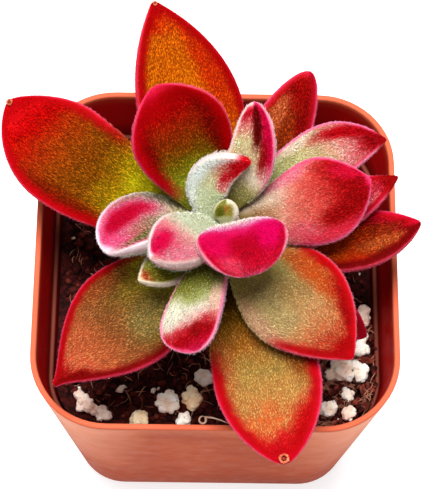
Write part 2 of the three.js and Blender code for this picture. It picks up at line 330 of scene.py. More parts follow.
base_turns = [math.radians(turn) for turn in BASE_TURNS]
lip_turns = [math.radians(turn) for turn in LIP_TURNS]
pot_profile = [
    *[(BASE_EDGE * (1 - math.sin(turn)), BASE_EDGE * (1 - math.cos(turn)), OUTSIDE) for turn in base_turns],
    *[(level, 0, OUTSIDE) for level in WALL_LEVELS],
    *[(POT_HEIGHT - LIP_ROUNDING * (1 - math.sin(turn)), LIP_ROUNDING * (1 - math.cos(turn)), ON_LIP)
      for turn in lip_turns],
    *[(POT_HEIGHT - LIP_ROUNDING * (1 - math.cos(turn)),
       LIP_THICKNESS - LIP_ROUNDING * (1 - math.sin(turn)), ON_LIP)
      for turn in lip_turns],
    (POT_HEIGHT - LIP_DEPTH, LIP_THICKNESS, BELOW_LIP),
    *[(level, LIP_THICKNESS, INSIDE) for level in LINING_LEVELS],
    (LEDGE_HEIGHT + LEDGE_EDGE, LIP_THICKNESS, INSIDE),
    (LEDGE_HEIGHT, LIP_THICKNESS + LEDGE_ROUNDING, INSIDE),
    (LEDGE_HEIGHT, WALL_THICKNESS - LEDGE_ROUNDING, INSIDE),
    (LEDGE_HEIGHT - LEDGE_EDGE, WALL_THICKNESS, INSIDE),
    (LOWER_LINING_LEVEL, WALL_THICKNESS, INSIDE),
    (FLOOR_THICKNESS, WALL_THICKNESS, INSIDE),
]
pot = raise_walls(
    "pot_shell",
    [pot_outline(height, inset) for height, inset, _ in pot_profile],
    [inside for _, _, inside in pot_profile],
)
for x in (-DRAIN_OFFSET, DRAIN_OFFSET):
    for y in (-DRAIN_OFFSET, DRAIN_OFFSET):
        deselect_all()
        bpy.ops.mesh.primitive_cylinder_add(
            vertices=DRAIN_SIDES,
            radius=DRAIN_RADIUS * MM,
            depth=DRILL_LENGTH * MM,
            location=(x * MM, y * MM, 0),
        )
        drill = bpy.context.object
        bpy.context.view_layer.objects.active = pot
        cut = pot.modifiers.new("drain", "BOOLEAN")
        cut.operation = "DIFFERENCE"
        cut.solver = "EXACT"
        cut.object = drill
        bpy.ops.object.modifier_apply(modifier=cut.name)
        bpy.data.objects.remove(drill)
dress(pot, pot_plastic(), 40)
set_in_place(pot, "pot", "pot")


# Soil
# A block of damp dark peat mix that fills the pot to just under the ledge. It was pressed in by hand, so its
# top is lumpy.
GAP = 0.3
SOIL_TOP = 42.6
SOIL_RELIEF = 0.45
SOIL_FINE_SHARE = 0.6
SOIL_RINGS = 34
SOIL_SHARES = [0.998, 0.99, *(1 - step / SOIL_RINGS for step in range(1, SOIL_RINGS))]
CLOD_HEIGHT = 0.42
CLOD_FINENESS = 0.55
PEAT_DARK = seen(20, 1, 2)
PEAT_LIGHT = seen(74, 18, 14)
# The pale crumb colour stands for dried peat, and in the front also for painted light.
PEAT_DRY_AND_LIT = seen(140, 58, 44)


def soil_height(x, y):
    broad = math.sin(0.42 * x + 1.3) * math.cos(0.37 * y - 0.4)
    fine = math.sin(0.9 * x - 0.7 * y)
    return SOIL_TOP + SOIL_RELIEF * (broad + SOIL_FINE_SHARE * fine)


def lumpy_height(x, y):
    """The soil's broad relief with small clods and hollows on it."""
    return soil_height(x, y) + CLOD_HEIGHT * noise.fractal(Vector((x, y, 4)) * CLOD_FINENESS, 0.8, 2.1, 4)


def soil_outline(share):
    ring = []
    for point in pot_outline(SOIL_TOP, WALL_THICKNESS + GAP):
        x, y = point.x * share, point.y * share
        ring.append(Vector((x, y, lumpy_height(x, y))))
    return ring


def peat_mix():
    """Damp peat, cloudy and dark brown, with each crumb's share of a paler shade: dried peat, and in the
    front painted light.
    """
    finish, tree, shader = start_finish("peat_mix", {"Specular IOR Level": 0.1})
    patches = spread(tree, grain(tree, 1.3, detail=5, rough=0.65), 0.42, 0.66)
    colour = blend(tree, patches, PEAT_DARK, PEAT_LIGHT)
    colour = blend(tree, carried(tree, "crumb_paleness"), colour, PEAT_DRY_AND_LIT)
    feed(tree, shader.inputs["Base Color"], colour)
    feed(tree, shader.inputs["Roughness"], spread(tree, grain(tree, 0.7), 0.35, 0.65, 0.5, 0.9))
    roughen(tree, shader, grain(tree, 0.5, detail=5, rough=0.7), 0.5, 0.9)
    return finish


soil = raise_walls(
    "peat_block",
    [
        pot_outline(FLOOR_THICKNESS + GAP, WALL_THICKNESS + GAP),
        *(soil_outline(share) for share in SOIL_SHARES),
    ],
)
soil_finish = peat_mix()
dress(soil, soil_finish, 50)
set_in_place(soil, "soil", "soil")


# Peat crumbs
# Loose crumbs of peat and bark lie all over the soil, from dust up to two millimetres, each a rough lump half
# sunk in the one below it. Small ones are paler, and those in the front paler still, as painted light where
# the leaves above shade the soil.
CRUMB_COUNT = 5200
CRUMB_SMALLEST = 0.14
CRUMB_LARGEST = 1.05
CRUMB_FINENESS = 4.5
CRUMB_RISE = 0.35
CRUMB_CLEARANCE = 0.1
LUMP_ROUGHNESS = 0.32
LUMP_SQUASH = (0.7, 1.25)
# Crumbs in front of this line draw paler shades, as painted light under the leaves.
PALE_FRONT = -13
FRONT_PALENESS = 1.9
DAMP_SHADE = 3.4
LARGE_SHADE = 0.25
SOIL_HALF = 27.6
SOIL_CORNER = 10.6


def on_soil(x, y, margin=0.0):
    """True where the soil lies, kept a margin away from the wall."""
    half = SOIL_HALF - margin
    over_x = abs(x) - (half - SOIL_CORNER)
    over_y = abs(y) - (half - SOIL_CORNER)
    if over_x > 0 and over_y > 0:
        return math.hypot(over_x, over_y) < SOIL_CORNER
    return abs(x) < half and abs(y) < half


def make_mesh(name, points, faces, finish):
    mesh = bpy.data.meshes.new(name)
    mesh.from_pydata([tuple(point) for point in points], [], [tuple(face) for face in faces])
    mesh.shade_smooth()
    mesh.materials.append(finish)
    body = bpy.data.objects.new(name, mesh)
    bpy.context.collection.objects.link(body)
    return body


def carry_value(mesh, name, values):
    """Lets the mesh carry a value for each of its points, which its finish reads."""
    layer = mesh.attributes.new(name, "FLOAT", "POINT")
    layer.data.foreach_set("value", np.asarray(values, np.float32))


def rough_lumps(name, places, finish, seed, shades):
    """Many rough lumps in one mesh, each at its own (x, y, z, radius) in millimetres."""
    deselect_all()
    bpy.ops.mesh.primitive_ico_sphere_add(subdivisions=1, radius=1)
    pattern = bpy.context.object
    corners = np.array([corner.co for corner in pattern.data.vertices])
    faces = np.array([face.vertices for face in pattern.data.polygons])
    bpy.data.objects.remove(pattern)
    chance = np.random.default_rng(seed)
    points, sides = [], []
    for x, y, z, radius in places:
        lump = corners * (1 + chance.uniform(-LUMP_ROUGHNESS, LUMP_ROUGHNESS, (len(corners), 1)))
        spin = Matrix.Rotation(chance.uniform(0, 6.3), 3, Vector(chance.normal(size=3)).normalized())
        lump = (lump * chance.uniform(*LUMP_SQUASH, 3)) @ np.array(spin)
        sides.append(faces + len(corners) * len(points))
        points.append((lump * radius + (x, y, z)) * MM)
    body = make_mesh(name, np.concatenate(points), np.concatenate(sides), finish)
    carry_value(body.data, "crumb_paleness", np.repeat(shades, len(corners)))
    return body


chance = random.Random(11)
crumb_places, crumb_shades = [], []
while len(crumb_places) < CRUMB_COUNT:
    x, y = chance.uniform(-SOIL_HALF, SOIL_HALF), chance.uniform(-SOIL_HALF, SOIL_HALF)
    radius = CRUMB_SMALLEST + (CRUMB_LARGEST - CRUMB_SMALLEST) * chance.random() ** CRUMB_FINENESS
    if on_soil(x, y, radius + CRUMB_CLEARANCE):
        crumb_places.append((x, y, lumpy_height(x, y) + CRUMB_RISE * radius, radius))
        # Painted light: in front, crumbs draw paler shades.
        crumb_paleness = chance.random() ** (FRONT_PALENESS if y < PALE_FRONT else DAMP_SHADE)
        crumb_shades.append(crumb_paleness * mix(1, LARGE_SHADE, radius / CRUMB_LARGEST))
crumbs = rough_lumps("peat_crumbs", crumb_places, soil_finish, 12, crumb_shades)
set_in_place(crumbs, "soil")


# Peat fibres
# Thin brown strands of moss and bark lie on the soil, most of all towards the front right corner. One pale
# root end curls up out of the soil beside the front leaf.
FIBRE_COUNT = 900
FIBRE_RADIUS = 0.09
FIBRE_RADII = (0.5, 1.3)
FIBRE_STEPS = 6
FIBRE_SIDES = 4
FIBRE_CURL = 0.45
FIBRE_WANDER = 0.3
FIBRE_STRIDES = (0.25, 0.75)
FIBRE_LIFTS = (0.2, 0.9)
FIBRE_RISE = 0.25
FIBRE_CLEARANCE = 0.4
STRAND_TAPER = 0.75
THICKET_SHARE = 0.5
THICKET_X = (24, 3.5)
THICKET_Y = (-18, 7)
CURL_X = -2.0
CURL_Y = -26.2
CURL_WIDTH = 0.6
CURL_BREADTH = 0.65
CURL_START = 60
CURL_TURN = 20
CURL_STEPS = 18
CURL_RISE = 1.1
CURL_FALL = 0.015
TAIL_STEPS = 8
TAIL_STRIDE = 0.55
TAIL_BEND = 0.018
ROOT_END_RADIUS = 0.19


def strands(name, paths, radii, finish, sides):
    """Round strands along paths of points, thinner towards both ends, joined in one mesh."""
    points, faces = [], []
    for path, radius in zip(paths, radii):
        first = len(points)
        count = len(path)
        for step, point in enumerate(path):
            ahead = path[min(step + 1, count - 1)] - path[max(step - 1, 0)]
            ahead.normalize()
            aside = ahead.cross(Vector((0, 0, 1)))
            if aside.length < 0.1:
                aside = ahead.cross(Vector((1, 0, 0)))
            aside.normalize()
            above = aside.cross(ahead)
            thin = radius * (1 - STRAND_TAPER * abs(2 * step / (count - 1) - 1) ** 3)
            for side in range(sides):
                turn = 2 * math.pi * side / sides
                offset = aside * math.cos(turn) + above * math.sin(turn)
                points.append((point + offset * thin) * MM)
        for step in range(count - 1):
            for side in range(sides):
                here = first + step * sides + side
                beside = first + step * sides + (side + 1) % sides
                faces.append((here, here + sides, beside + sides, beside))
        faces.append(tuple(first + side for side in range(sides)))
        faces.append(tuple(first + (count - 1) * sides + side for side in reversed(range(sides))))
    return make_mesh(name, points, faces, finish)


def fibre_finish(name, dark, light):
    finish, tree, shader = start_finish(name, {})
    colour = blend(tree, spread(tree, grain(tree, 2.5), 0.35, 0.65), dark, light)
    feed(tree, shader.inputs["Base Color"], colour)
    feed(tree, shader.inputs["Roughness"], spread(tree, grain(tree, 0.8), 0.3, 0.7, 0.6, 0.85))
    roughen(tree, shader, grain(tree, 0.2, detail=2), 0.03, 0.5)
    return finish


def fibre_path(chance, x, y, ground):
    """One strand that starts at a place, wanders over the ground and arches a little above it."""
    heading = chance.uniform(0, 2 * math.pi)
    curl = chance.uniform(-FIBRE_CURL, FIBRE_CURL)
    stride = chance.uniform(*FIBRE_STRIDES)
    lift = chance.uniform(*FIBRE_LIFTS)
    path = []
    for step in range(FIBRE_STEPS):
        arch = lift * math.sin(math.pi * step / (FIBRE_STEPS - 1))
        path.append(Vector((x, y, ground(x, y) + FIBRE_RISE + arch)))
        heading += curl + chance.uniform(-FIBRE_WANDER, FIBRE_WANDER)
        x += stride * math.cos(heading)
        y += stride * math.sin(heading)
    return path


fibre_paths, fibre_radii = [], []
while len(fibre_paths) < FIBRE_COUNT:
    in_thicket = chance.random() < THICKET_SHARE
    x = chance.gauss(*THICKET_X) if in_thicket else chance.uniform(-SOIL_HALF, SOIL_HALF)
    y = chance.gauss(*THICKET_Y) if in_thicket else chance.uniform(-SOIL_HALF, SOIL_HALF)
    path = fibre_path(chance, x, y, lumpy_height)
    if all(on_soil(point.x, point.y, FIBRE_CLEARANCE) for point in path):
        fibre_paths.append(path)
        fibre_radii.append(FIBRE_RADIUS * chance.uniform(*FIBRE_RADII))
moss = fibre_finish("moss_fibre", seen(104, 52, 36), seen(186, 128, 98))
fibres = strands("peat_fibres", fibre_paths, fibre_radii, moss, FIBRE_SIDES)
set_in_place(fibres, "soil")

curl_path = []
for step in range(CURL_STEPS + TAIL_STEPS + 1):
    turn = math.radians(CURL_START + CURL_TURN * min(step, CURL_STEPS))
    away = max(0, step - CURL_STEPS)
    curl_path.append(Vector((
        CURL_X + CURL_WIDTH * math.cos(turn) + TAIL_STRIDE * away,
        CURL_Y + CURL_BREADTH * math.sin(turn) - TAIL_BEND * away ** 2,
        SOIL_TOP + CURL_RISE - CURL_FALL * step,
    )))
root_finish = fibre_finish("root", seen(205, 150, 120), seen(236, 198, 170))
root_end = strands("root_curl", [curl_path], [ROOT_END_RADIUS], root_finish, 8)
set_in_place(root_end, "soil")


# Drift of peat
# Crumbs and fibres have washed up against the wall in the front right corner, where they hide the ledge. They
# leave the perlite grains there free.
DRIFT_X = 27
DRIFT_Y = -22
DRIFT_REACH = 15
DRIFT_FOOT = 42.8
DRIFT_HEIGHT = 2.2
DRIFT_CRUMBS = 800
DRIFT_CRUMB_RADII = (0.2, 0.7)
DRIFT_CRUMBS_X = (-15, 3)
DRIFT_CRUMBS_Y = (-8, 15)
DRIFT_FIBRES = 240
DRIFT_FIBRE_RADII = (0.05, 0.1)
DRIFT_FIBRES_X = (-12, 3)
DRIFT_FIBRES_Y = (-8, 13)
DRIFT_FIBRE_CLEARANCE = 0.3
DRIFT_SHADE = 1.8
DRIFT_OVER_LEDGE = 1.9
GRAIN_CLEARANCE = 0.7


def drift_height(x, y):
    near = 1 - math.hypot(x - DRIFT_X, y - DRIFT_Y) / DRIFT_REACH
    return DRIFT_FOOT + DRIFT_HEIGHT * max(0, near)


kept_free = []
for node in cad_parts:
    if node.startswith("perlite_"):
        low, high = (np.array(corner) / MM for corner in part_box(node))
        kept_free.append((*((low + high) / 2)[:2], (high - low)[:2].max() / 2))


def in_drift(x, y, margin):
    if math.hypot(x - DRIFT_X, y - DRIFT_Y) > DRIFT_REACH or not on_soil(x, y, margin - DRIFT_OVER_LEDGE):
        return False
    return all(math.hypot(x - grain_x, y - grain_y) > wide + GRAIN_CLEARANCE
               for grain_x, grain_y, wide in kept_free)


chance = random.Random(17)
drift_places, drift_shades, drift_paths, drift_radii = [], [], [], []
while len(drift_places) < DRIFT_CRUMBS:
    x, y = DRIFT_X + chance.uniform(*DRIFT_CRUMBS_X), DRIFT_Y + chance.uniform(*DRIFT_CRUMBS_Y)
    radius = chance.uniform(*DRIFT_CRUMB_RADII)
    if in_drift(x, y, radius + CRUMB_CLEARANCE):
        drift_places.append((x, y, drift_height(x, y), radius))
        drift_shades.append(chance.random() ** DRIFT_SHADE)
while len(drift_paths) < DRIFT_FIBRES:
    x, y = DRIFT_X + chance.uniform(*DRIFT_FIBRES_X), DRIFT_Y + chance.uniform(*DRIFT_FIBRES_Y)
    path = fibre_path(chance, x, y, drift_height)
    if all(in_drift(point.x, point.y, DRIFT_FIBRE_CLEARANCE) for point in path):
        drift_paths.append(path)
        drift_radii.append(chance.uniform(*DRIFT_FIBRE_RADII))
drift = rough_lumps("peat_drift", drift_places, soil_finish, 18, drift_shades)
drift_fibres = strands("drift_fibres", drift_paths, drift_radii, moss, FIBRE_SIDES)
set_in_place(drift, "soil")
set_in_place(drift_fibres, "soil")


# Perlite
# Grains of puffed white mineral, knobbly as popcorn and full of small pits, half sunk in the soil. The large
# grains take their place and size from the frame, and finer crumbs of the same lie between them.
#   EXTRA_LOBES: more knobs of a grain (x, y, z, radius), from its middle
#   PERLITE_CRUMBS: crumbs (x, y, radius) on the soil
GRAIN_CORE = 0.94
KNOBS = 13
KNOBS_ON_SMOOTH = 3
SMOOTH_GRAINS = ("perlite_front_round", "perlite_right_front")
KNOB_SMALLEST = 0.3
KNOB_LARGEST = 0.52
KNOB_SUNK = 0.75
GRAIN_MESH = 0.13
GRAIN_PITTING = 0.24
PIT_FINENESS = 1.1
PERLITE_CRUMB_RISE = 0.6
EXTRA_LOBES = {
    "perlite_twin_left": [(0.9, -1.0, 0.1, 1.15), (-0.9, 1.2, 0.1, 1.0), (1.7, -1.5, -0.2, 0.9)],
    "perlite_twin_right": [(0.9, -0.4, 0.2, 1.0), (-1.3, 0.7, 0.0, 0.9)],
    "perlite_cluster_left": [(-1.3, 0.8, 0.3, 0.85), (-1.8, -0.2, 0.2, 0.65), (-1.1, -1.2, 0.1, 0.75),
                             (0.2, 1.4, 0.5, 0.9), (0.4, -1.3, 0.2, 0.8), (0.9, 0.1, 0.5, 1.0)],
    "perlite_cluster_right": [(0.1, 1.3, 0.4, 1.1), (0.9, 0.2, 0.4, 1.15), (-0.8, 0.5, 0.6, 0.95),
                              (0.3, -0.9, 0.3, 1.1), (-0.2, 2.1, 0.1, 0.7)],
    "perlite_right_middle": [(0.2, 1.5, 0.2, 0.8), (-1.1, -0.6, 0.2, 0.75)],
    "perlite_right_back": [(0.2, 1.0, 0.4, 1.15), (0.1, -0.9, 0.4, 1.1), (-0.7, 0.2, 0.3, 0.95)],
    "perlite_right_pair": [(-1.8, -0.6, 0.1, 1.1), (-0.6, 1.5, 0.5, 1.1), (1.3, 1.1, 0.6, 1.15),
                           (1.6, -0.9, 0.4, 1.0), (0.1, -0.3, 0.9, 1.2)],
    "perlite_right_pair_end": [(-0.6, 1.4, 0.5, 1.05), (0.7, 0.7, 0.5, 1.0), (0.1, -0.8, 0.6, 1.1)],
}
PERLITE_CRUMBS = [
    (27.4, -10.1, 0.85), (-26.8, -12.8, 0.5), (-25.6, -8.0, 0.35), (-26.3, 8.6, 0.4), (-24.2, -20.2, 0.35),
    (-17.0, -20.6, 0.8), (-16.2, -20.0, 0.5), (-10.9, -20.6, 0.75), (-10.0, -20.2, 0.5),
    (-13.0, -22.6, 0.3), (-19.0, -18.4, 0.3), (1.6, -23.6, 0.45), (-3.2, -20.4, 0.5),
    (23.4, -20.0, 0.6), (25.6, -22.4, 0.4), (21.0, -21.6, 0.3), (17.6, -24.0, 0.3), (19.0, -25.6, 0.55),
    (22.2, -25.9, 0.5), (25.4, -9.2, 0.4), (26.6, 2.4, 0.35), (-23.6, 14.8, 0.4), (-18.4, 21.2, 0.35),
    (16.8, 23.4, 0.3), (24.2, 18.2, 0.3), (20.8, -18.4, 0.45), (-26.2, -16.6, 0.3),
]


def perlite_finish(name, clean, stained):
    finish, tree, shader = start_finish(name, {
        "Roughness": 0.85,
        "Specular IOR Level": 0.3,
        "Subsurface Weight": 0.3,
        "Subsurface Radius": (1.0, 0.9, 0.75),
        "Subsurface Scale": 0.8 * MM,
    })
    patches = spread(tree, grain(tree, 2.4), 0.42, 0.66)
    # Painted shade: small darker spots stand for the shade inside pits, as well as the pits shaped in the
    # mesh.
    pit_shade = spread(tree, grain(tree, 0.7), 0.27, 0.4, 0.6, 1.0)
    colour = blend(tree, 1.0, blend(tree, patches, clean, stained), pit_shade, "MULTIPLY")
    feed(tree, shader.inputs["Base Color"], colour)
    roughen(tree, shader, grain(tree, 0.5, detail=4, rough=0.6), 0.3, 0.6)
    return finish


def knobbly_grain(node, chance):
    """A grain with the node's core and knobs all over it, melted into one skin."""
    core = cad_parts[node].copy()
    core.data = core.data.copy()
    core.parent = None
    core.name = core.data.name = f"{node}_grain"
    bpy.context.collection.objects.link(core)
    for key in list(core.keys()):
        del core[key]
    corners = np.array([corner.co for corner in core.data.vertices])
    middle = corners.mean(0)
    for corner in core.data.vertices:
        corner.co = Vector(middle) + (corner.co - Vector(middle)) * GRAIN_CORE
    pieces = [core]
    for knob in range(KNOBS_ON_SMOOTH if node in SMOOTH_GRAINS else KNOBS):
        place = corners[chance.integers(len(corners))] - middle
        wide = np.linalg.norm(place) * chance.uniform(KNOB_SMALLEST, KNOB_LARGEST)
        place = middle + place * (1 - KNOB_SUNK * wide / np.linalg.norm(place))
        bpy.ops.mesh.primitive_ico_sphere_add(subdivisions=2, radius=wide, location=place)
        pieces.append(bpy.context.object)
    for x, y, z, radius in EXTRA_LOBES.get(node, []):
        place = Vector(middle) + Vector((x, y, z)) * MM
        bpy.ops.mesh.primitive_ico_sphere_add(subdivisions=3, radius=radius * MM, location=place)
        pieces.append(bpy.context.object)
    deselect_all()
    for piece in pieces:
        piece.select_set(True)
    bpy.context.view_layer.objects.active = core
    bpy.ops.object.join()
    melt = core.modifiers.new("melt", "REMESH")
    melt.mode = "VOXEL"
    melt.voxel_size = GRAIN_MESH * MM
    bpy.ops.object.modifier_apply(modifier=melt.name)
    for corner in core.data.vertices:
        pit = noise.fractal(corner.co / MM * PIT_FINENESS, 0.9, 2.2, 5)
        outward = (corner.co - Vector(middle)).normalized()
        corner.co += outward * GRAIN_PITTING * pit * MM
    bpy.ops.object.shade_smooth()
    return core


perlite_white = perlite_finish("perlite_white", seen(255, 250, 238), seen(250, 222, 196))
perlite_cream = perlite_finish("perlite_cream", seen(255, 238, 200), seen(240, 196, 146))
perlite_rosy = perlite_finish("perlite_rosy", seen(255, 230, 214), seen(236, 190, 168))
GRAIN_FINISHES = {
    "perlite_twin_left": perlite_rosy,
    "perlite_twin_right": perlite_rosy,
    "perlite_front_round": perlite_cream,
    "perlite_cluster_right": perlite_cream,
    "perlite_right_back": perlite_rosy,
    "perlite_right_corner": perlite_rosy,
}
chance = np.random.default_rng(8)
deselect_all()
for node in sorted(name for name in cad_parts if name.startswith("perlite_")):
    lump = knobbly_grain(node, chance)
    lump.data.materials.clear()
    lump.data.materials.append(GRAIN_FINISHES.get(node, perlite_white))
    set_in_place(lump, "perlite", node)

small_places = [
    (x, y, lumpy_height(x, y) + PERLITE_CRUMB_RISE * radius, radius) for x, y, radius in PERLITE_CRUMBS
]
small_grains = rough_lumps("perlite_crumbs", small_places, perlite_white, 21, [0.0] * len(small_places))
set_in_place(small_grains, "perlite")


# Stem
# A short soft stem, green-brown with the scars of fallen leaves, stands in the soil and carries every leaf.
# It grew with them as one.
STEM_X = 1.3
STEM_Y = 0.2
STEM_SIDES = 36
STEM_STEP = 0.7
SCAR_RELIEF = 0.16
STEM_PROFILE = [(32, 2.6), (34, 3.4), (56, 3.4), (66, 2.9), (73, 2.2), (75, 1.2)]


def stem_outline(height, radius):
    ring = []
    for side in range(STEM_SIDES):
        turn = 2 * math.pi * side / STEM_SIDES
        around = Vector((math.cos(turn) * 2, math.sin(turn) * 2, height * 0.6))
        wide = radius + SCAR_RELIEF * noise.fractal(around, 0.8, 2, 3)
        ring.append(Vector((STEM_X + wide * math.cos(turn), STEM_Y + wide * math.sin(turn), height)))
    return ring


def stem_rings():
    rings = []
    for (low, wide), (high, narrow) in zip(STEM_PROFILE, STEM_PROFILE[1:]):
        steps = max(1, round((high - low) / STEM_STEP))
        for step in range(steps):
            rings.append(stem_outline(mix(low, high, step / steps), mix(wide, narrow, step / steps)))
    rings.append(stem_outline(*STEM_PROFILE[-1]))
    return rings


def stem_bark():
    finish, tree, shader = start_finish("stem_bark", {"Roughness": 0.75, "Sheen Weight": 0.4})
    patches = spread(tree, grain(tree, 2.4, detail=4, stretch=(1, 1, 0.5)), 0.4, 0.62)
    feed(tree, shader.inputs["Base Color"], blend(tree, patches, seen(150, 152, 88), seen(142, 92, 62)))
    roughen(tree, shader, grain(tree, 0.6), 0.2, 0.6)
    return finish


stem = raise_walls("stem_stalk", stem_rings())
dress(stem, stem_bark(), 50)
set_in_place(stem, "stem", "stem")


# Leaves
# Twenty fleshy leaves, grown one by one from the stem. Each is a thick spoon-shaped blade, green at its root,
# reddened by the sun towards its end and along its margin. The youngest stand in the middle.
#   heading, root, tip, reach, bow, sweep, width, thick, cup, roll, belly, blunt: the form, as in the solids
#   start: heading of the root's place on the stem, for a leaf that leans over the middle
#   young: True for the leaves of the heart
#   lengthwise: colours along the blade, each with its place from 0 at the root to 1 at the tip
#   slant: how much sooner the left side comes to those colours
#   washes: patches of colour (colour, along, across, half length, half breadth, strength)
#   margin, right_margin, rim: colour of the edge, of the edge on the right, and of the very outline; the
#       outline's colour is partly pale hairs and partly painted highlight
#   band: breadth of the edge in millimetres
#   right_reddens: where along the right side the edge's colour begins and is full
#   tip_share: how much a distance from the tip counts as one from the edge
#   point: colour of the very tip, and where it begins and is full
#   under: colour of the underside
#   down, hair: colour of the hairs' ends and how much of it they take, and the hairs' size
LEAF_RINGS = 84
LEAF_SIDES = 56
FLOW_STEP = 0.03
STATION_CROWDING = 1.15
ROOT_RADIUS = 2.4
NECK_WIDTH = 0.38
WIDTH_RISE = 1.6
WIDTH_FALL = 1.9
FACE_SHARE = 0.35
END_THICKNESS = 0.72
TIP_TAPER = 5
TIP_ROUNDING = 0.55
BLUNTED_TIP = 0.5
SECTION_POWER = 0.83
COLOUR_STRAY = 0.035
WASH_STRAY = 0.16
WASH_FADE = (0.4, 1.3)
WASHED_RISE = (-0.55, 0.1)
UNDER_RISE = (-0.75, -0.15)
UNDER_SHARE = 0.9
EDGE_STRAY = 0.25
TIP_STRAY = 0.3
TIP_SHARE = 0.55
REDDENS = (0.2, 0.5)
INNER_FROM, INNER_TO = 0.8, 2.3
EDGE_FROM, EDGE_TO = 0.3, 1.3
# The next factor turns the margin's colour into the darker band inside it: partly the leaf's own deeper red,
# partly painted shade.
INNER_RED_AND_SHADE = np.array([0.9, 0.4, 0.4])
RIM_BREADTHS = (0.02, 0.5)
RIM_RISE = (0.3, 0.9)
RIM_HIGHLIGHT_SHARE = 0.75
LEAF_DEPTH = 0.76
LEAF_RICHNESS = 1.15
SKIN_DEPTH = 0.64
SKIN_MOTTLE = 0.05

CREAM = (240, 232, 214)
BLUSH = (252, 206, 212)
TAN = (214, 150, 112)

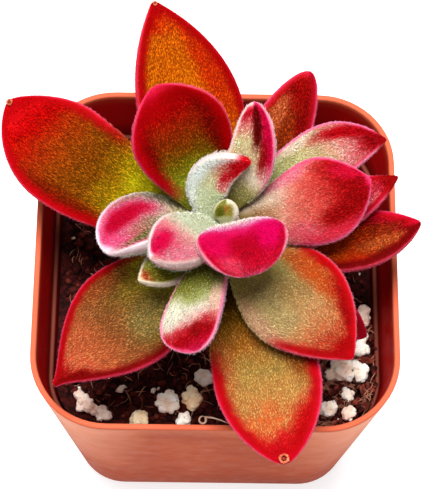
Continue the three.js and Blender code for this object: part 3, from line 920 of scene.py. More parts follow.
LEAVES = [
    dict(name="leaf_bud", heading=90, start=270, root=75.9, reach=0.5, tip=80, width=4.2, thick=2.6,
         cup=0.3, belly=0.6, blunt=0.5, young=True,
         lengthwise=[(0, (206, 210, 180)), (0.34, (196, 196, 150)), (0.48, (168, 156, 70)),
                     (0.75, (146, 132, 48)), (0.9, (176, 164, 96)), (1, (196, 186, 130))],
         washes=[((96, 104, 24), 0.6, 0.5, 0.24, 0.4, 0.95), ((178, 112, 44), 0.74, 0.0, 0.14, 0.16, 0.9),
                 (CREAM, 0.62, -0.9, 0.5, 0.42, 1), ((196, 200, 150), 0.36, 0.2, 0.12, 0.8, 0.9)],
         margin=(128, 134, 52), right_margin=(230, 222, 194), rim=(238, 232, 210), band=0.35,
         under=(200, 210, 164), down=(CREAM, 0.4), hair=0.45),
    dict(name="leaf_centre_pale", heading=53, start=210, root=73, reach=6.5, tip=84.5, bow=1, sweep=8.6,
         width=7.2, thick=5, cup=0.3, roll=13, belly=0.47, blunt=0.75, young=True,
         lengthwise=[(0, (206, 216, 176)), (0.4, (214, 224, 176)), (0.58, (222, 212, 158)),
                     (0.68, (224, 170, 132)), (0.76, (212, 96, 84)), (0.84, (190, 12, 24)),
                     (1, (212, 6, 22))],
         washes=[((238, 248, 238), 0.5, 0.82, 0.4, 0.6, 1), ((214, 96, 100), 0.64, -0.62, 0.17, 0.4, 0.9),
                 ((192, 20, 34), 0.75, -0.4, 0.11, 0.32, 0.9)],
         margin=(244, 232, 222), right_margin=(255, 214, 206), rim=(250, 232, 228), band=0.3, tip_share=4,
         point=((206, 8, 26), 0.88, 0.97), under=(206, 216, 184), down=(CREAM, 0.55)),
    dict(name="leaf_centre_pink", heading=286.5, root=73, reach=14.7, tip=83, bow=9.2, width=14.8, thick=5,
         cup=0.2, roll=-2, belly=0.57, blunt=0.55, young=True,
         lengthwise=[(0, (206, 214, 180)), (0.2, (218, 192, 178)), (0.34, (242, 150, 188)),
                     (0.44, (238, 36, 118)), (0.53, (218, 10, 80)), (0.63, (188, 2, 42)),
                     (0.76, (190, 4, 40)), (0.88, (220, 20, 58)), (1, (242, 74, 100))],
         washes=[((236, 2, 110), 0.58, 0.6, 0.22, 0.32, 0.8), ((240, 10, 100), 0.6, -0.62, 0.2, 0.34, 0.8),
                 ((242, 70, 100), 0.84, -0.55, 0.12, 0.36, 0.8)],
         margin=(242, 84, 128), rim=(252, 190, 196), band=0.45, under=(226, 24, 76), down=(BLUSH, 0.4)),
    dict(name="leaf_upright_back", heading=73.5, root=73, reach=14.6, tip=89, bow=2, sweep=-4, width=7.8,
         thick=4.6, cup=0.5, belly=0.47, blunt=0.5, young=True,
         lengthwise=[(0, (140, 134, 62)), (0.22, (176, 166, 100)), (0.34, (248, 230, 204)),
                     (0.5, (230, 200, 156)), (0.66, (220, 206, 148)), (0.8, (222, 116, 112)),
                     (0.91, (188, 8, 36)), (1, (206, 16, 52))],
         washes=[((206, 4, 64), 0.74, -0.7, 0.36, 0.4, 1), ((100, 0, 2), 0.81, -0.14, 0.28, 0.3, 1),
                 ((150, 16, 14), 0.54, -0.48, 0.14, 0.22, 0.9)],
         margin=(252, 208, 202), right_margin=(238, 40, 108), rim=(252, 214, 214), band=0.5,
         under=(206, 206, 160), down=(CREAM, 0.5)),
    dict(name="leaf_centre_left", heading=225, root=74, reach=17.2, tip=85, bow=3, sweep=1, width=10,
         thick=6, cup=0.2, belly=0.58, blunt=0.7, young=True,
         lengthwise=[(0, (200, 210, 170)), (0.42, (212, 220, 186)), (0.53, (228, 208, 184)),
                     (0.62, (232, 154, 152)), (0.74, (228, 96, 124)), (0.86, (220, 60, 98)),
                     (1, (234, 74, 116))],
         washes=[((224, 128, 146), 0.78, 0.72, 0.26, 0.45, 0.8), ((222, 8, 76), 0.86, -0.3, 0.2, 0.38, 1)],
         margin=(212, 158, 150), right_margin=(254, 222, 224), rim=(250, 220, 218), band=0.65,
         under=(214, 210, 184), down=(CREAM, 0.5)),
    dict(name="leaf_right_coral", heading=10, root=71, reach=24.1, tip=81, bow=3, sweep=-3.2, width=14.5,
         thick=5, cup=-0.05, roll=20, belly=0.62, blunt=0.8, young=True,
         lengthwise=[(0, (140, 122, 66)), (0.2, (164, 126, 80)), (0.33, (232, 166, 144)),
                     (0.48, (226, 104, 92)), (0.62, (222, 78, 70)), (0.74, (186, 24, 28)),
                     (0.86, (152, 2, 8)), (0.95, (188, 6, 34)), (1, (214, 20, 60))],
         washes=[((238, 214, 192), 0.2, 0.7, 0.24, 0.5, 0.9), ((244, 130, 156), 0.44, 0.92, 0.24, 0.3, 0.9),
                 ((230, 20, 70), 0.85, 0.6, 0.12, 0.34, 0.8),
                 ((238, 96, 116), 0.44, -0.66, 0.16, 0.34, 0.9), ((150, 3, 8), 0.71, -0.5, 0.17, 0.3, 0.9),
                 ((240, 50, 84), 0.62, -0.9, 0.26, 0.28, 0.8)],
         margin=(242, 74, 130), rim=(250, 140, 166), band=0.6, under=(206, 60, 70),
         down=((255, 186, 160), 0.5)),
    dict(name="leaf_back_spoon", heading=129, root=71, reach=19.2, tip=92, bow=-3, sweep=-1.2, width=16.8,
         thick=4.5, cup=0.2, roll=-12, belly=0.68, blunt=0.64, young=False,
         lengthwise=[(0, (142, 158, 62)), (0.36, (160, 190, 54)), (0.5, (128, 116, 16)),
                     (0.62, (150, 66, 8)), (0.75, (178, 44, 12)), (0.85, (194, 12, 10)),
                     (0.93, (216, 16, 30)), (1, (228, 20, 56))],
         washes=[((134, 6, 3), 0.6, -0.72, 0.26, 0.3, 0.8), ((140, 8, 5), 0.68, 0.82, 0.16, 0.26, 0.8)],
         margin=(198, 6, 30), right_margin=(184, 4, 12), rim=(250, 110, 146), band=1.4,
         point=((242, 48, 96), 0.92, 1.02), under=(150, 20, 24), down=((226, 120, 64), 0.3)),
    dict(name="leaf_front_young", heading=255, root=71, reach=26.8, tip=79, bow=3, sweep=0.5, width=9.3,
         thick=5.5, cup=0.3, roll=12, belly=0.82, blunt=0.32, young=True, slant=0.14,
         lengthwise=[(0, (140, 142, 60)), (0.4, (132, 134, 34)), (0.52, (130, 130, 42)),
                     (0.62, (166, 172, 100)), (0.7, (236, 226, 202)), (0.78, (242, 186, 176)),
                     (0.84, (204, 44, 58)), (0.9, (172, 5, 18)), (0.97, (184, 6, 34)),
                     (1.1, (228, 30, 90))],
         washes=[((238, 190, 166), 0.6, 0.8, 0.16, 0.4, 0.8),
                 ((240, 236, 210), 0.77, -0.66, 0.14, 0.4, 0.9), ((150, 2, 8), 0.83, 0.3, 0.06, 0.28, 0.8)],
         margin=(240, 92, 136), rim=(250, 190, 210), band=0.4, under=(226, 204, 180), down=(CREAM, 0.55)),
    dict(name="leaf_left_pink", heading=207.5, root=71, reach=21.5, tip=81, bow=1, sweep=-5, width=16.5,
         thick=5, cup=0.3, roll=35, belly=0.43, blunt=0.57, young=True,
         lengthwise=[(0, (150, 150, 70)), (0.25, (168, 168, 110)), (0.38, (178, 178, 142)),
                     (0.55, (152, 126, 94)), (0.7, (186, 106, 98)), (0.85, (236, 82, 128)),
                     (1, (240, 116, 156))],
         # The first wash is painted shadow: dark olive where the leaf lies in its neighbour's shade.
         washes=[((104, 100, 38), 0.7, 0.6, 0.26, 0.28, 0.9), ((244, 112, 156), 0.72, -0.48, 0.44, 0.46, 1),
                 ((202, 4, 52), 0.68, -0.46, 0.3, 0.3, 1), ((240, 80, 134), 0.92, -0.2, 0.1, 0.5, 0.8)],
         margin=(240, 196, 200), right_margin=(254, 220, 234), rim=(252, 236, 240), band=0.8,
         under=(214, 220, 194), down=(CREAM, 0.45)),
    dict(name="leaf_left_green", heading=222, root=68, reach=19.2, tip=77, bow=1, sweep=1.8, width=6.8,
         thick=4, cup=0.3, belly=0.72, blunt=0.92, young=True,
         # Its colours are painted brighter than the leaf's own, as painted light where it lies in shade.
         lengthwise=[(0, (150, 156, 50)), (0.7, (146, 152, 22)), (0.86, (164, 146, 34)),
                     (0.92, (192, 84, 38)), (1, (196, 64, 32))],
         washes=[((196, 204, 90), 0.84, -0.6, 0.1, 0.3, 0.8)],
         margin=(240, 222, 184), rim=(248, 232, 214), band=0.6, under=(226, 220, 184), down=(CREAM, 0.4)),
    dict(name="leaf_right_upper", heading=26.4, root=66.5, reach=30.3, tip=76.5, bow=4, sweep=4.8,
         width=10.3, thick=4.6, cup=0.35, belly=0.65, blunt=0.95, young=True,
         lengthwise=[(0, (150, 160, 84)), (0.35, (184, 190, 116)), (0.52, (204, 194, 130)),
                     (0.64, (208, 172, 126)), (0.74, (236, 156, 140)), (0.83, (190, 50, 58)),
                     (0.9, (160, 6, 14)), (1, (148, 2, 10))],
         washes=[((246, 220, 200), 0.5, 0.85, 0.12, 0.3, 0.8), ((186, 3, 18), 0.78, 0.58, 0.2, 0.28, 1),
                 ((206, 104, 104), 0.78, -0.75, 0.12, 0.45, 0.7),
                 ((150, 3, 12), 0.94, -0.5, 0.06, 0.5, 0.9)],
         margin=(250, 90, 142), right_margin=(216, 70, 96), rim=(252, 170, 198), band=0.6,
         point=((160, 3, 16), 0.91, 0.98), under=(206, 170, 130), down=(BLUSH, 0.5)),
    dict(name="leaf_right_sage", heading=310, root=66, reach=32.4, tip=74, bow=4, sweep=-0.1, width=17.4,
         thick=4.4, cup=0.14, roll=10, belly=0.54, blunt=0.9, young=False,
         # Its root colours are paler than the leaf's own, as painted light in the shadow of the pink leaf
         # above it.
         lengthwise=[(0, (250, 236, 130)), (0.32, (250, 236, 140)), (0.42, (204, 176, 110)),
                     (0.52, (178, 144, 88)), (0.64, (220, 166, 112)), (0.76, (226, 130, 82)),
                     (0.86, (206, 66, 40)), (0.92, (196, 8, 14)), (1, (204, 4, 18))],
         washes=[((222, 92, 30), 0.5, 0.62, 0.28, 0.28, 0.95), ((190, 172, 118), 0.5, -0.5, 0.22, 0.4, 0.8),
                 ((172, 6, 12), 0.8, 0.78, 0.2, 0.26, 0.9), ((222, 170, 142), 0.5, -0.95, 0.22, 0.3, 0.8)],
         margin=(196, 4, 22), right_margin=(182, 8, 22), rim=(250, 130, 150), band=1.05,
         right_reddens=(0.58, 0.78), under=(160, 20, 30), down=((250, 200, 150), 0.5)),
    dict(name="leaf_left_large", heading=150.6, root=66, reach=43, tip=74, bow=3, sweep=7.6, width=17.8,
         thick=4.4, cup=0.12, roll=-20, belly=0.67, blunt=0.75, young=False,
         lengthwise=[(0, (220, 210, 50)), (0.32, (228, 222, 32)), (0.42, (166, 144, 14)),
                     (0.52, (130, 78, 6)), (0.64, (154, 74, 10)), (0.76, (184, 50, 12)),
                     (0.85, (202, 6, 8)), (0.93, (246, 20, 34)), (1, (255, 24, 44))],
         washes=[((132, 26, 3), 0.56, 0.8, 0.22, 0.26, 0.75), (TAN, 0.985, 0, 0.02, 1.6, 1)],
         margin=(198, 6, 22), rim=(246, 100, 130), band=1.1, right_reddens=(0.4, 0.68), under=(190, 10, 30),
         down=((250, 150, 50), 0.35)),
    dict(name="leaf_back_tall", heading=110, root=66, reach=37.2, tip=84.5, bow=2, sweep=-0.5, width=19.2,
         thick=4.2, cup=0.15, roll=15, belly=0.49, blunt=0.9, young=False,
         lengthwise=[(0, (200, 130, 14)), (0.55, (214, 112, 8)), (0.74, (200, 96, 8)),
                     (0.85, (202, 92, 12)), (0.92, (206, 26, 10)), (1, (208, 8, 8))],
         washes=[((200, 46, 8), 0.68, -0.66, 0.34, 0.34, 0.9), (TAN, 0.99, 0, 0.014, 1.6, 1)],
         margin=(176, 6, 12), rim=(240, 80, 110), band=1.1, under=(150, 12, 16),
         down=((250, 160, 40), 0.35)),
    dict(name="leaf_back_right", heading=61.8, root=62, reach=30.7, tip=75, bow=2, sweep=-0.6, width=11,
         thick=4, cup=0.2, belly=0.46, blunt=0.6, young=False,
         lengthwise=[(0, (116, 72, 12)), (0.5, (136, 52, 12)), (0.7, (150, 46, 12)), (0.82, (154, 8, 8)),
                     (1, (154, 3, 6))],
         washes=[((196, 96, 56), 0.7, 0.42, 0.14, 0.36, 0.9), ((136, 4, 4), 0.74, -0.6, 0.14, 0.28, 0.9)],
         margin=(212, 44, 72), right_margin=(176, 8, 40), rim=(250, 120, 150), band=0.8,
         under=(160, 20, 30), down=((240, 170, 110), 0.4)),
    dict(name="leaf_right_small", heading=15, root=64, reach=30.2, tip=74, bow=2, sweep=-4, width=11,
         thick=3.6, cup=0.2, belly=0.42, blunt=0.88, young=False,
         lengthwise=[(0, (196, 150, 110)), (0.6, (216, 124, 108)), (0.78, (218, 66, 80)),
                     (0.88, (210, 38, 58)), (0.95, (178, 8, 26)), (1, (172, 6, 22))],
         washes=[((240, 160, 156), 0.74, -0.85, 0.16, 0.45, 0.8)],
         margin=(200, 18, 52), rim=(248, 120, 146), band=0.7, point=((154, 3, 6), 0.86, 0.94),
         under=(214, 110, 110), down=(BLUSH, 0.4)),
    dict(name="leaf_right_low", heading=1.2, root=62, reach=33.2, tip=71, bow=1, sweep=-5.8, width=10.5,
         thick=4.2, cup=0.2, belly=0.67, blunt=0.79, young=False,
         # Its middle is painted brighter orange than the leaf's own, as painted light in the shadow of the
         # coral leaf above it.
         lengthwise=[(0, (220, 90, 14)), (0.52, (236, 80, 14)), (0.62, (226, 64, 14)),
                     (0.74, (146, 40, 10)), (0.84, (156, 42, 22)), (0.92, (154, 18, 26)),
                     (1, (154, 14, 26))],
         washes=[((192, 86, 40), 0.78, -0.3, 0.15, 0.3, 0.9), ((190, 10, 44), 0.8, 0.75, 0.2, 0.36, 0.9)],
         margin=(206, 14, 56), right_margin=(130, 3, 8), rim=(240, 100, 130), band=1.0, under=(140, 6, 16),
         down=((250, 180, 100), 0.4)),
    dict(name="leaf_front_large", heading=283.7, root=61.5, reach=42.5, tip=69, bow=4, sweep=1.6,
         width=17.8, thick=4.4, cup=0.1, roll=10, belly=0.64, blunt=0.69, young=False,
         # Its root colours are darker than the leaf's own, as painted shade where the leaves above shade it.
         lengthwise=[(0, (90, 60, 6)), (0.33, (138, 94, 10)), (0.46, (178, 110, 36)), (0.6, (188, 152, 78)),
                     (0.73, (222, 154, 84)), (0.83, (246, 118, 62)), (0.89, (234, 44, 40)),
                     (1, (236, 12, 46))],
         washes=[((216, 12, 20), 0.87, 0.75, 0.13, 0.4, 0.9), ((156, 70, 14), 0.58, 0.7, 0.12, 0.3, 0.7),
                 ((208, 104, 56), 0.58, -0.85, 0.18, 0.34, 0.7), (TAN, 0.988, 0, 0.014, 1.6, 1)],
         margin=(202, 6, 34), rim=(250, 120, 150), band=1.2, right_reddens=(0.4, 0.62), under=(186, 10, 36),
         down=((255, 206, 146), 0.5)),
    dict(name="leaf_left_low", heading=224.3, root=63, reach=39.4, tip=66, bow=4, sweep=-0.3, width=18.8,
         thick=4.4, cup=0.1, belly=0.54, blunt=1.2, young=False,
         # Its root is painted a much paler yellow-green than the leaf's own, as painted light in the shade of
         # the leaves above it.
         lengthwise=[(0, (170, 150, 30)), (0.36, (226, 208, 60)), (0.5, (142, 112, 44)),
                     (0.62, (152, 94, 48)), (0.74, (202, 104, 60)), (0.85, (234, 110, 74)),
                     (0.92, (200, 40, 38)), (1, (178, 8, 18))],
         washes=[((146, 136, 80), 0.46, 0.3, 0.16, 0.42, 0.8), ((144, 4, 4), 0.9, 0.6, 0.08, 0.3, 0.9),
                 ((176, 84, 40), 0.52, -0.8, 0.14, 0.3, 0.8)],
         margin=(140, 3, 8), right_margin=(180, 8, 24), rim=(240, 90, 125), band=0.9, under=(136, 3, 10),
         down=((250, 176, 120), 0.48)),
    dict(name="leaf_right_hidden", heading=327.5, root=57, reach=29.3, tip=59, bow=2, sweep=-0.5, width=8.5,
         thick=4, cup=0.1, belly=0.7, blunt=0.8, young=False,
         lengthwise=[(0, (110, 60, 20)), (0.5, (134, 20, 20)), (1, (146, 5, 26))],
         washes=[], margin=(146, 4, 34), rim=(220, 70, 110), band=1, under=(120, 6, 20), down=(BLUSH, 0.3)),
]


def towards(degrees):
    return np.array([math.cos(math.radians(degrees)), math.sin(math.radians(degrees)), 0.0])


def signed_power(value, power):
    return np.sign(value) * np.abs(value) ** power


def width_at(along, belly, blunt):
    rise = NECK_WIDTH + (1 - NECK_WIDTH) * np.sin(math.pi / 2 * np.clip(along / belly, 0, 1)) ** WIDTH_RISE
    beyond = np.clip((along - belly) / (1 - belly), 0, 1)
    fall = np.hypot((1 - beyond ** WIDTH_FALL) ** blunt, BLUNTED_TIP * np.sqrt(1 - beyond) * beyond ** 12)
    return np.where(along < belly, rise, fall)


def unit(vectors):
    return vectors / np.linalg.norm(vectors, axis=-1, keepdims=True)


def leaf_form(leaf, along, angle):
    """Points of the skin at shares of the length and angles round the section, with how far across and how
    high in the section each lies, from -1 to 1, and the leaf's half width there."""
    outward = towards(leaf["heading"])
    up = np.array([0.0, 0.0, 1.0])
    left = np.cross(up, outward)
    start = ROOT_RADIUS * towards(leaf.get("start", leaf["heading"]))
    start += np.array([STEM_X, STEM_Y, leaf["root"]])
    end = np.array([STEM_X, STEM_Y, leaf["tip"]]) + leaf["reach"] * outward
    control = (start + end) / 2 + leaf.get("bow", 0) * up + leaf.get("sweep", 0) * left
    chord = unit(end - start)
    roll = math.radians(leaf.get("roll", 0))
    sideways = left * math.cos(roll) + np.cross(chord, left) * math.sin(roll)
    sideways += chord * (chord @ left) * (1 - math.cos(roll))

    share = along[:, None]
    centre = (1 - share) ** 2 * start + 2 * share * (1 - share) * control + share ** 2 * end
    forward = unit((1 - share) * (control - start) + share * (end - control))
    normal = unit(np.cross(forward, sideways))
    across = np.cross(normal, forward)

    half_width = width_at(along, leaf["belly"], leaf["blunt"]) * leaf["width"] / 2
    body = END_THICKNESS + (1 - END_THICKNESS) * np.sin(math.pi * along)
    thickness = body * (1 - along ** TIP_TAPER) ** TIP_ROUNDING * leaf["thick"]
    beside = signed_power(np.cos(angle), SECTION_POWER)
    rise = signed_power(np.sin(angle), SECTION_POWER)
    above = np.where(rise > 0, FACE_SHARE, 1 - FACE_SHARE)
    lift = leaf["cup"] * half_width * beside ** 2 + rise * thickness * above
    points = centre + across * (beside * half_width)[:, None] + normal * lift[:, None]
    return points, beside, rise, half_width


def smooth_step(value, low, high):
    share = np.clip((value - low) / (high - low), 0, 1)
    return share * share * (3 - 2 * share)


def unevenness(points, fineness, shift, depth):
    """Cloudy noise at points of the skin."""
    shift = Vector((shift, shift, shift))
    return np.array([noise.fractal(Vector(point) * fineness + shift, 0.8, 2, depth) for point in points])


def leaf_colours(leaf, points, along, beside, rise, half_width):
    """The skin's colour and how thick its nap is, at each point."""
    uneven = unevenness(points, 0.35, 0, 3)
    ripple = unevenness(points, 0.9, 9, 2)
    shifted = along + COLOUR_STRAY * uneven + leaf.get("slant", 0) * beside
    stops = [place for place, _ in leaf["lengthwise"]]
    shades = np.array([colour for _, colour in leaf["lengthwise"]], float)
    tint = np.stack([np.interp(shifted, stops, shades[:, part]) for part in range(3)], 1)
    for colour, place, side, length, breadth, strength in leaf["washes"]:
        away = np.hypot((along - place) / length, (beside - side) / breadth) + WASH_STRAY * uneven
        share = strength * (1 - smooth_step(away, *WASH_FADE)) * smooth_step(rise, *WASHED_RISE)
        tint = mix(tint, colour, share[:, None])
    below = 1 - smooth_step(rise, *UNDER_RISE)
    tint = mix(tint, leaf["under"], (UNDER_SHARE * below)[:, None])

    long = math.dist((0, leaf["root"]), (leaf["reach"], leaf["tip"]))
    from_edge = (1 - np.abs(beside)) * half_width * (1 + EDGE_STRAY * ripple)
    from_tip = (1 - along) * long * (1 + TIP_STRAY * ripple)
    from_edge = np.minimum(from_edge, leaf.get("tip_share", TIP_SHARE) * from_tip)
    right_reddens = leaf.get("right_reddens", REDDENS)
    grown = np.where(beside > 0, smooth_step(along, *REDDENS), smooth_step(along, *right_reddens))
    band = leaf["band"]
    red_and_shade_band = grown * (1 - smooth_step(from_edge, INNER_FROM * band, INNER_TO * band))
    edge = grown * (1 - smooth_step(from_edge, EDGE_FROM * band, EDGE_TO * band))
    outline = grown * (1 - smooth_step(from_edge, *RIM_BREADTHS)) * (1 - smooth_step(np.abs(rise), *RIM_RISE))
    right = smooth_step(-beside, -0.2, 0.2)[:, None]
    margin = mix(np.array(leaf["margin"], float), np.array(leaf.get("right_margin", leaf["margin"])), right)
    # On older leaves, a darker band inside the margin: partly the leaf's own red, partly painted shade of the
    # rounded blade's edge.
    if not leaf["young"]:
        tint = mix(tint, margin * INNER_RED_AND_SHADE, red_and_shade_band[:, None])
    tint = mix(tint, margin, edge[:, None])
    # Partly pale hairs, partly painted highlight: the very outline is tinted pale, as lit fuzz.
    tint = mix(tint, leaf["rim"], (RIM_HIGHLIGHT_SHARE * outline)[:, None])
    if "point" in leaf:
        colour, first, last = leaf["point"]
        tint = mix(tint, colour, smooth_step(along, first, last)[:, None])
    return np.clip(tint, 0, 255) / 255, 1 - (edge if leaf["young"] else red_and_shade_band)


def to_light(colours):
    """Colours as they are seen in the photograph's light, turned into the leaf's own, deeper ones."""
    light = np.where(colours <= 0.04045, colours / 12.92, ((colours + 0.055) / 1.055) ** 2.4)
    return LEAF_DEPTH * light ** LEAF_RICHNESS


def carry_colour(mesh, name, colours):
    layer = mesh.attributes.new(name, "FLOAT_COLOR", "POINT")
    with_alpha = np.concatenate([to_light(colours), np.ones((len(colours), 1))], 1)
    layer.data.foreach_set("color", with_alpha.astype(np.float32).ravel())


def leaf_skin(name, between, glow):
    """Fleshy velvet skin in its own colour, with painted shade in a fine grain between the hairs, and some
    sheen.
    """
    finish, tree, shader = start_finish(name, {
        "Specular IOR Level": 0.01,
        "Sheen Weight": glow,
        "Sheen Roughness": 0.5,
        "Sheen Tint": seen(255, 170, 190),
        "Subsurface Weight": 0.06,
        "Subsurface Radius": (1.0, 0.35, 0.2),
        "Subsurface Scale": 1.2 * MM,
    })
    nap = carried(tree, "nap")
    fine = spread(tree, grain(tree, 0.36, rough=0.6), 0.34, 0.62, 1.3, 0.7)
    broad = spread(tree, grain(tree, 2.2), 0.3, 0.7, SKIN_DEPTH - SKIN_MOTTLE, SKIN_DEPTH + SKIN_MOTTLE)
    # Painted shade: where the nap is thick, the skin is darkened in a fine grain between the hairs.
    dark = sums(tree, "MULTIPLY", sums(tree, "MULTIPLY", nap, fine), between)
    shade = sums(tree, "SUBTRACT", broad, dark)
    colour = blend(tree, 1.0, carried(tree, "tint", "Color"), shade, "MULTIPLY")
    feed(tree, shader.inputs["Base Color"], colour)
    feed(tree, shader.inputs["Roughness"], spread(tree, nap, 0, 1, 0.5, 0.75))
    roughen(tree, shader, grain(tree, 0.4, detail=4, rough=0.6), 0.22, 0.5)
    return finish


def numbers_of(items, name, kind=float):
    """Three numbers of each item in a mesh, such as a point's place, as the rows of one array."""
    values = np.empty(3 * len(items), kind)
    items.foreach_get(name, values)
    return values.reshape(-1, 3)


def leaf_slot(leaf):
    return "leaf_young" if leaf["young"] else "leaf_old"


def leaf_blade(leaf, finish):
    deselect_all()
    bpy.ops.mesh.primitive_uv_sphere_add(segments=LEAF_SIDES, ring_count=LEAF_RINGS, radius=1, calc_uvs=False)
    blade = bpy.context.object
    blade.name = blade.data.name = f"{leaf['name']}_blade"
    mesh = blade.data
    x, y, z = numbers_of(mesh.vertices, "co").T
    ring = np.round(np.arccos(np.clip(-z, -1, 1)) / math.pi * LEAF_RINGS)
    along = 1 - (1 - np.clip(ring - 1, 0, None) / (LEAF_RINGS - 1)) ** STATION_CROWDING
    angle = np.arctan2(y, x)
    points, beside, rise, half_width = leaf_form(leaf, along, angle)
    flow = points - leaf_form(leaf, along - FLOW_STEP, angle)[0]
    points[ring == 0] = leaf_form(leaf, np.zeros(2), np.array([0, math.pi]))[0].mean(0)
    mesh.vertices.foreach_set("co", (points * MM).ravel())
    tint, nap = leaf_colours(leaf, points, along, beside, rise, half_width)
    carry_colour(mesh, "tint", tint)
    carry_value(mesh, "nap", nap)
    mesh.materials.append(finish)
    bpy.ops.object.shade_smooth()
    mesh.update()
    set_in_place(blade, leaf_slot(leaf), leaf["name"])
    return blade, tint, nap, along, rise, flow


old_skin = leaf_skin("leaf_old_skin", 0.2, 0.0)
young_skin = leaf_skin("leaf_young_skin", 0.08, 0.01)


# Down
# Short soft hairs stand all over each leaf, leaning towards its tip and outwards. They are brightest at their
# ends and sparse on the margins, and along the outline they are painted paler, a painted highlight of lit
# fuzz.
HAIRS_ON_TOP = 23.0
HAIRS_BELOW = 7.0
HAIRS_ON_MARGIN = 0.5
HAIR_LENGTH = 0.66
HAIR_LENGTHS = (0.55, 1.25)
MARGIN_LENGTH = 0.55
OLD_HAIR_WIDTH = 0.062
YOUNG_HAIR_WIDTH = 0.05
HAIR_WIDTHS = (0.7, 1.25)
MARGIN_WIDTH = 0.6
HAIR_THICKNESS = 0.04
HAIR_SUNK = 0.03
HAIR_LEAN = 1.5
HAIR_STRAY = 0.28
HAIR_TWIST = 0.4
TOP_RISE = -0.3
BARE_ROOT = 0.12
HAIR_SHADES = (0.66, 1.36)
END_BRIGHTER = 0.1
FOOT_SHARE = 0.4
RIM_HAIR_SHARE = 0.6
OUTLINE_HAIR_HIGHLIGHT = 0.9
OUTLINE_RISE = (0.15, 0.65)
REDDENED_SHARE = 0.25
REDDENED_GREEN = (0.05, 0.5)


def down_finish(name):
    finish, tree, shader = start_finish(name, {"Roughness": 0.7, "Specular IOR Level": 0.01})
    feed(tree, shader.inputs["Base Color"], carried(tree, "tint", "Color"))
    return finish


def hair_places(mesh, points, along, rise, nap, chance):
    """The triangle of skin that each hair stands on, as its corners, and their shares in the hair's place.
    The triangles are sorted first, because a ball's faces come in another order each time it is made."""
    mesh.calc_loop_triangles()
    corners = np.sort(numbers_of(mesh.loop_triangles, "vertices", np.int32), axis=1)
    corners = corners[np.lexsort(corners.T)]
    a, b, c = (points[corners[:, part]] for part in range(3))
    area = np.linalg.norm(np.cross(b - a, c - a), axis=1) / 2
    thickness = np.where(rise[corners].mean(1) > TOP_RISE, HAIRS_ON_TOP, HAIRS_BELOW)
    grown = along[corners].mean(1) > BARE_ROOT
    crop = area * thickness * grown * mix(HAIRS_ON_MARGIN, 1, nap[corners].mean(1))
    count = int(crop.sum())
    chosen = chance.choice(len(corners), count, p=crop / crop.sum())
    first, second = chance.random(count), chance.random(count)
    flipped = first + second > 1
    first[flipped], second[flipped] = 1 - first[flipped], 1 - second[flipped]
    return corners[chosen], np.stack([1 - first - second, first, second], 1)


def hair_corners(leaf, root, normal, way, thick_nap, chance):
    """Each hair's four corners: three at its foot, sunk in the skin, and its end."""
    count = len(root)
    stray = chance.normal(size=(count, 3)) * HAIR_STRAY
    lean = unit(normal + HAIR_LEAN * (way - normal * (normal * way).sum(1)[:, None]) + stray)
    aside = unit(np.cross(lean, normal + HAIR_TWIST * chance.normal(size=(count, 3))))
    beyond = np.cross(lean, aside)
    size = leaf.get("hair", 1)
    length = size * HAIR_LENGTH * mix(MARGIN_LENGTH, 1, thick_nap) * chance.uniform(*HAIR_LENGTHS, count)
    usual_width = size * (YOUNG_HAIR_WIDTH if leaf["young"] else OLD_HAIR_WIDTH)
    width = usual_width * mix(MARGIN_WIDTH, 1, thick_nap) * chance.uniform(*HAIR_WIDTHS, count)
    to_side = aside * width[:, None]
    foot = root - normal * HAIR_SUNK
    end = root + lean * length[:, None]
    return np.stack([foot + to_side, foot + beyond * HAIR_THICKNESS, foot - to_side, end], 1).reshape(-1, 3)


def hair_colours(leaf, skin, rise, thick_nap, chance):
    """The colours of those corners, palest at the end."""
    count = len(skin)
    down, share = leaf["down"]
    nap_here = thick_nap[:, None]
    bright = chance.uniform(*HAIR_SHADES, (count, 1))
    pale = mix(np.array(leaf["rim"]) / 255, np.array(down) / 255, nap_here)
    share = mix(RIM_HAIR_SHARE, share, nap_here) * (0.6 + 0.8 * chance.random((count, 1)))
    share = share * mix(REDDENED_SHARE, 1, smooth_step(skin[:, 1:2], *REDDENED_GREEN))
    # Painted highlight: hairs along the outline take more of the pale colour, as fuzz catching the light.
    on_outline = (1 - smooth_step(np.abs(rise), *OUTLINE_RISE)) * (1 - thick_nap)
    share = mix(share, OUTLINE_HAIR_HIGHLIGHT, on_outline[:, None])
    low = np.clip(mix(skin, pale, FOOT_SHARE * share) * bright, 0, 1)
    high = np.clip(mix(skin, pale, share) * (bright + END_BRIGHTER), 0, 1)
    return np.stack([low, low, low, high], 1).reshape(-1, 3)


def leaf_down(leaf, mesh, tint, nap, along, rise, flow, finish, chance):
    """The down of one leaf, all of its hairs in one piece."""
    points = numbers_of(mesh.vertices, "co") / MM
    normals = numbers_of(mesh.vertex_normals, "vector")
    corners, shares = hair_places(mesh, points, along, rise, nap, chance)

    def at_root(values):
        picked = values[corners]
        return (picked * (shares[:, :, None] if picked.ndim == 3 else shares)).sum(1)

    thick_nap = at_root(nap)
    ends = hair_corners(leaf, at_root(points), unit(at_root(normals)), unit(at_root(flow)), thick_nap, chance)
    colours = hair_colours(leaf, at_root(tint), at_root(rise), thick_nap, chance)
    hair = np.array([(0, 1, 3), (1, 2, 3), (2, 0, 3), (0, 2, 1)])
    faces = (hair + 4 * np.arange(len(corners))[:, None, None]).reshape(-1, 3)
    body = make_mesh(f"{leaf['name']}_down", ends * MM, faces, finish)
    carry_colour(body.data, "tint", colours)
    set_in_place(body, leaf_slot(leaf))


old_down = down_finish("leaf_old_down")
young_down = down_finish("leaf_young_down")
chance = np.random.default_rng(5)
for leaf in LEAVES:
    skin, coat = (young_skin, young_down) if leaf["young"] else (old_skin, old_down)
    blade, tint, nap, along, rise, flow = leaf_blade(leaf, skin)
    leaf_down(leaf, blade.data, tint, nap, along, rise, flow, coat, chance)


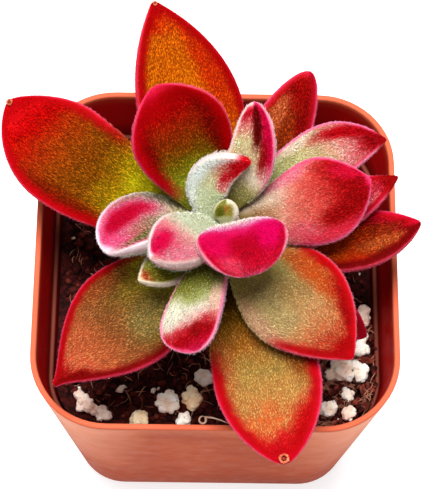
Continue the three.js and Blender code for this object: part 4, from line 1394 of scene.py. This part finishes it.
# Tip scars
# Where the point of a large leaf has dried, a crown of tan tissue stands round a small dark hole, grown fast
# to the blade. Three leaves have one, and SCAR_SIZES gives its size on each.
SCAR_SIZES = {"leaf_front_large": 0.9, "leaf_left_large": 0.62, "leaf_back_tall": 0.45}
SCAR_BACK = 0.9
SCAR_RISE = 0.25
CROWN_LUMPS = 11
CROWN_LUMP_SIZE = 0.3
CROWN_RADIUS = 0.72
CROWN_RISE = 0.5
HOLE_SIZE = 0.52
HOLE_RISE = 0.3


def scar_tissue(name, colour, mixed):
    finish, tree, shader = start_finish(name, {"Roughness": 0.8, "Specular IOR Level": 0.15})
    cloudy = spread(tree, grain(tree, 0.5), 0.35, 0.65)
    feed(tree, shader.inputs["Base Color"], blend(tree, cloudy, colour, mixed))
    roughen(tree, shader, grain(tree, 0.25), 0.1, 0.6)
    return finish


dry_tan = scar_tissue("scar_tan", seen(150, 52, 34), seen(190, 108, 76))
dry_brown = scar_tissue("scar_hole", seen(100, 32, 14), seen(134, 56, 28))
for leaf in LEAVES:
    if leaf["name"] not in SCAR_SIZES:
        continue
    size = SCAR_SIZES[leaf["name"]]
    along = np.full(4, 1 - SCAR_BACK * size / leaf["reach"])
    left, right, top, below = leaf_form(leaf, along, np.array([0, math.pi, math.pi / 2, -math.pi / 2]))[0]
    across = unit(left - right)
    up = unit(top - below)
    forward = np.cross(across, up)
    middle = (left + right) / 2 + SCAR_RISE * size * up
    lumps = []
    for step in range(CROWN_LUMPS):
        turn = 2 * math.pi * step / CROWN_LUMPS
        away = across * math.cos(turn) + forward * math.sin(turn)
        place = middle + CROWN_RADIUS * size * away + CROWN_RISE * size * up
        lumps.append((*place, CROWN_LUMP_SIZE * size))
    crown = rough_lumps(f"{leaf['name']}_scar", lumps, dry_tan, 31, [0.0] * len(lumps))
    hole_place = (*(middle + HOLE_RISE * size * up), HOLE_SIZE * size)
    hole = rough_lumps(f"{leaf['name']}_scar_hole", [hole_place], dry_brown, 32, [0.0])
    set_in_place(crown, "leaf_old")
    set_in_place(hole, "leaf_old")


# Light and floor
# Soft white light comes from all round and from a large round lamp overhead, a little to the left and behind.
# The floor is near-white and glows a little, so it stays pale in the shade.
FLOOR_WIDTH = 6000
FLOOR_DROP = 0.1
SKY_GLOW = 0.62
LAMP_WIDTH = 400
LAMP_POWER = 13
LAMP_PLACE = (-40, 80, 760)
LAMP_AIM_HEIGHT = 60

deselect_all()
bpy.ops.mesh.primitive_plane_add(size=FLOOR_WIDTH * MM, location=(0, 0, -FLOOR_DROP * MM))
floor = bpy.context.object
floor.name = "floor"
floor_finish, *_ = start_finish("floor_paint", {
    "Base Color": (0.45, 0.45, 0.45, 1),
    "Roughness": 0.9,
    "Emission Color": (1, 1, 1, 1),
    "Emission Strength": 0.68,
})
floor.data.materials.append(floor_finish)

world = bpy.data.worlds.new("studio")
world.use_nodes = True
sky = world.node_tree.nodes["Background"]
sky.inputs["Color"].default_value = (1, 1, 1, 1)
sky.inputs["Strength"].default_value = SKY_GLOW
bpy.context.scene.world = world

lamp_data = bpy.data.lights.new("lamp", "AREA")
lamp_data.shape = "DISK"
lamp_data.size = LAMP_WIDTH * MM
lamp_data.energy = LAMP_POWER
lamp = bpy.data.objects.new("lamp", lamp_data)
bpy.context.collection.objects.link(lamp)
lamp.location = [part * MM for part in LAMP_PLACE]
aim = Vector((0, 0, LAMP_AIM_HEIGHT * MM)) - lamp.location
lamp.rotation_euler = aim.to_track_quat("-Z", "Y").to_euler()

bpy.context.scene.view_settings.view_transform = "Standard"
bpy.context.scene.view_settings.look = "None"
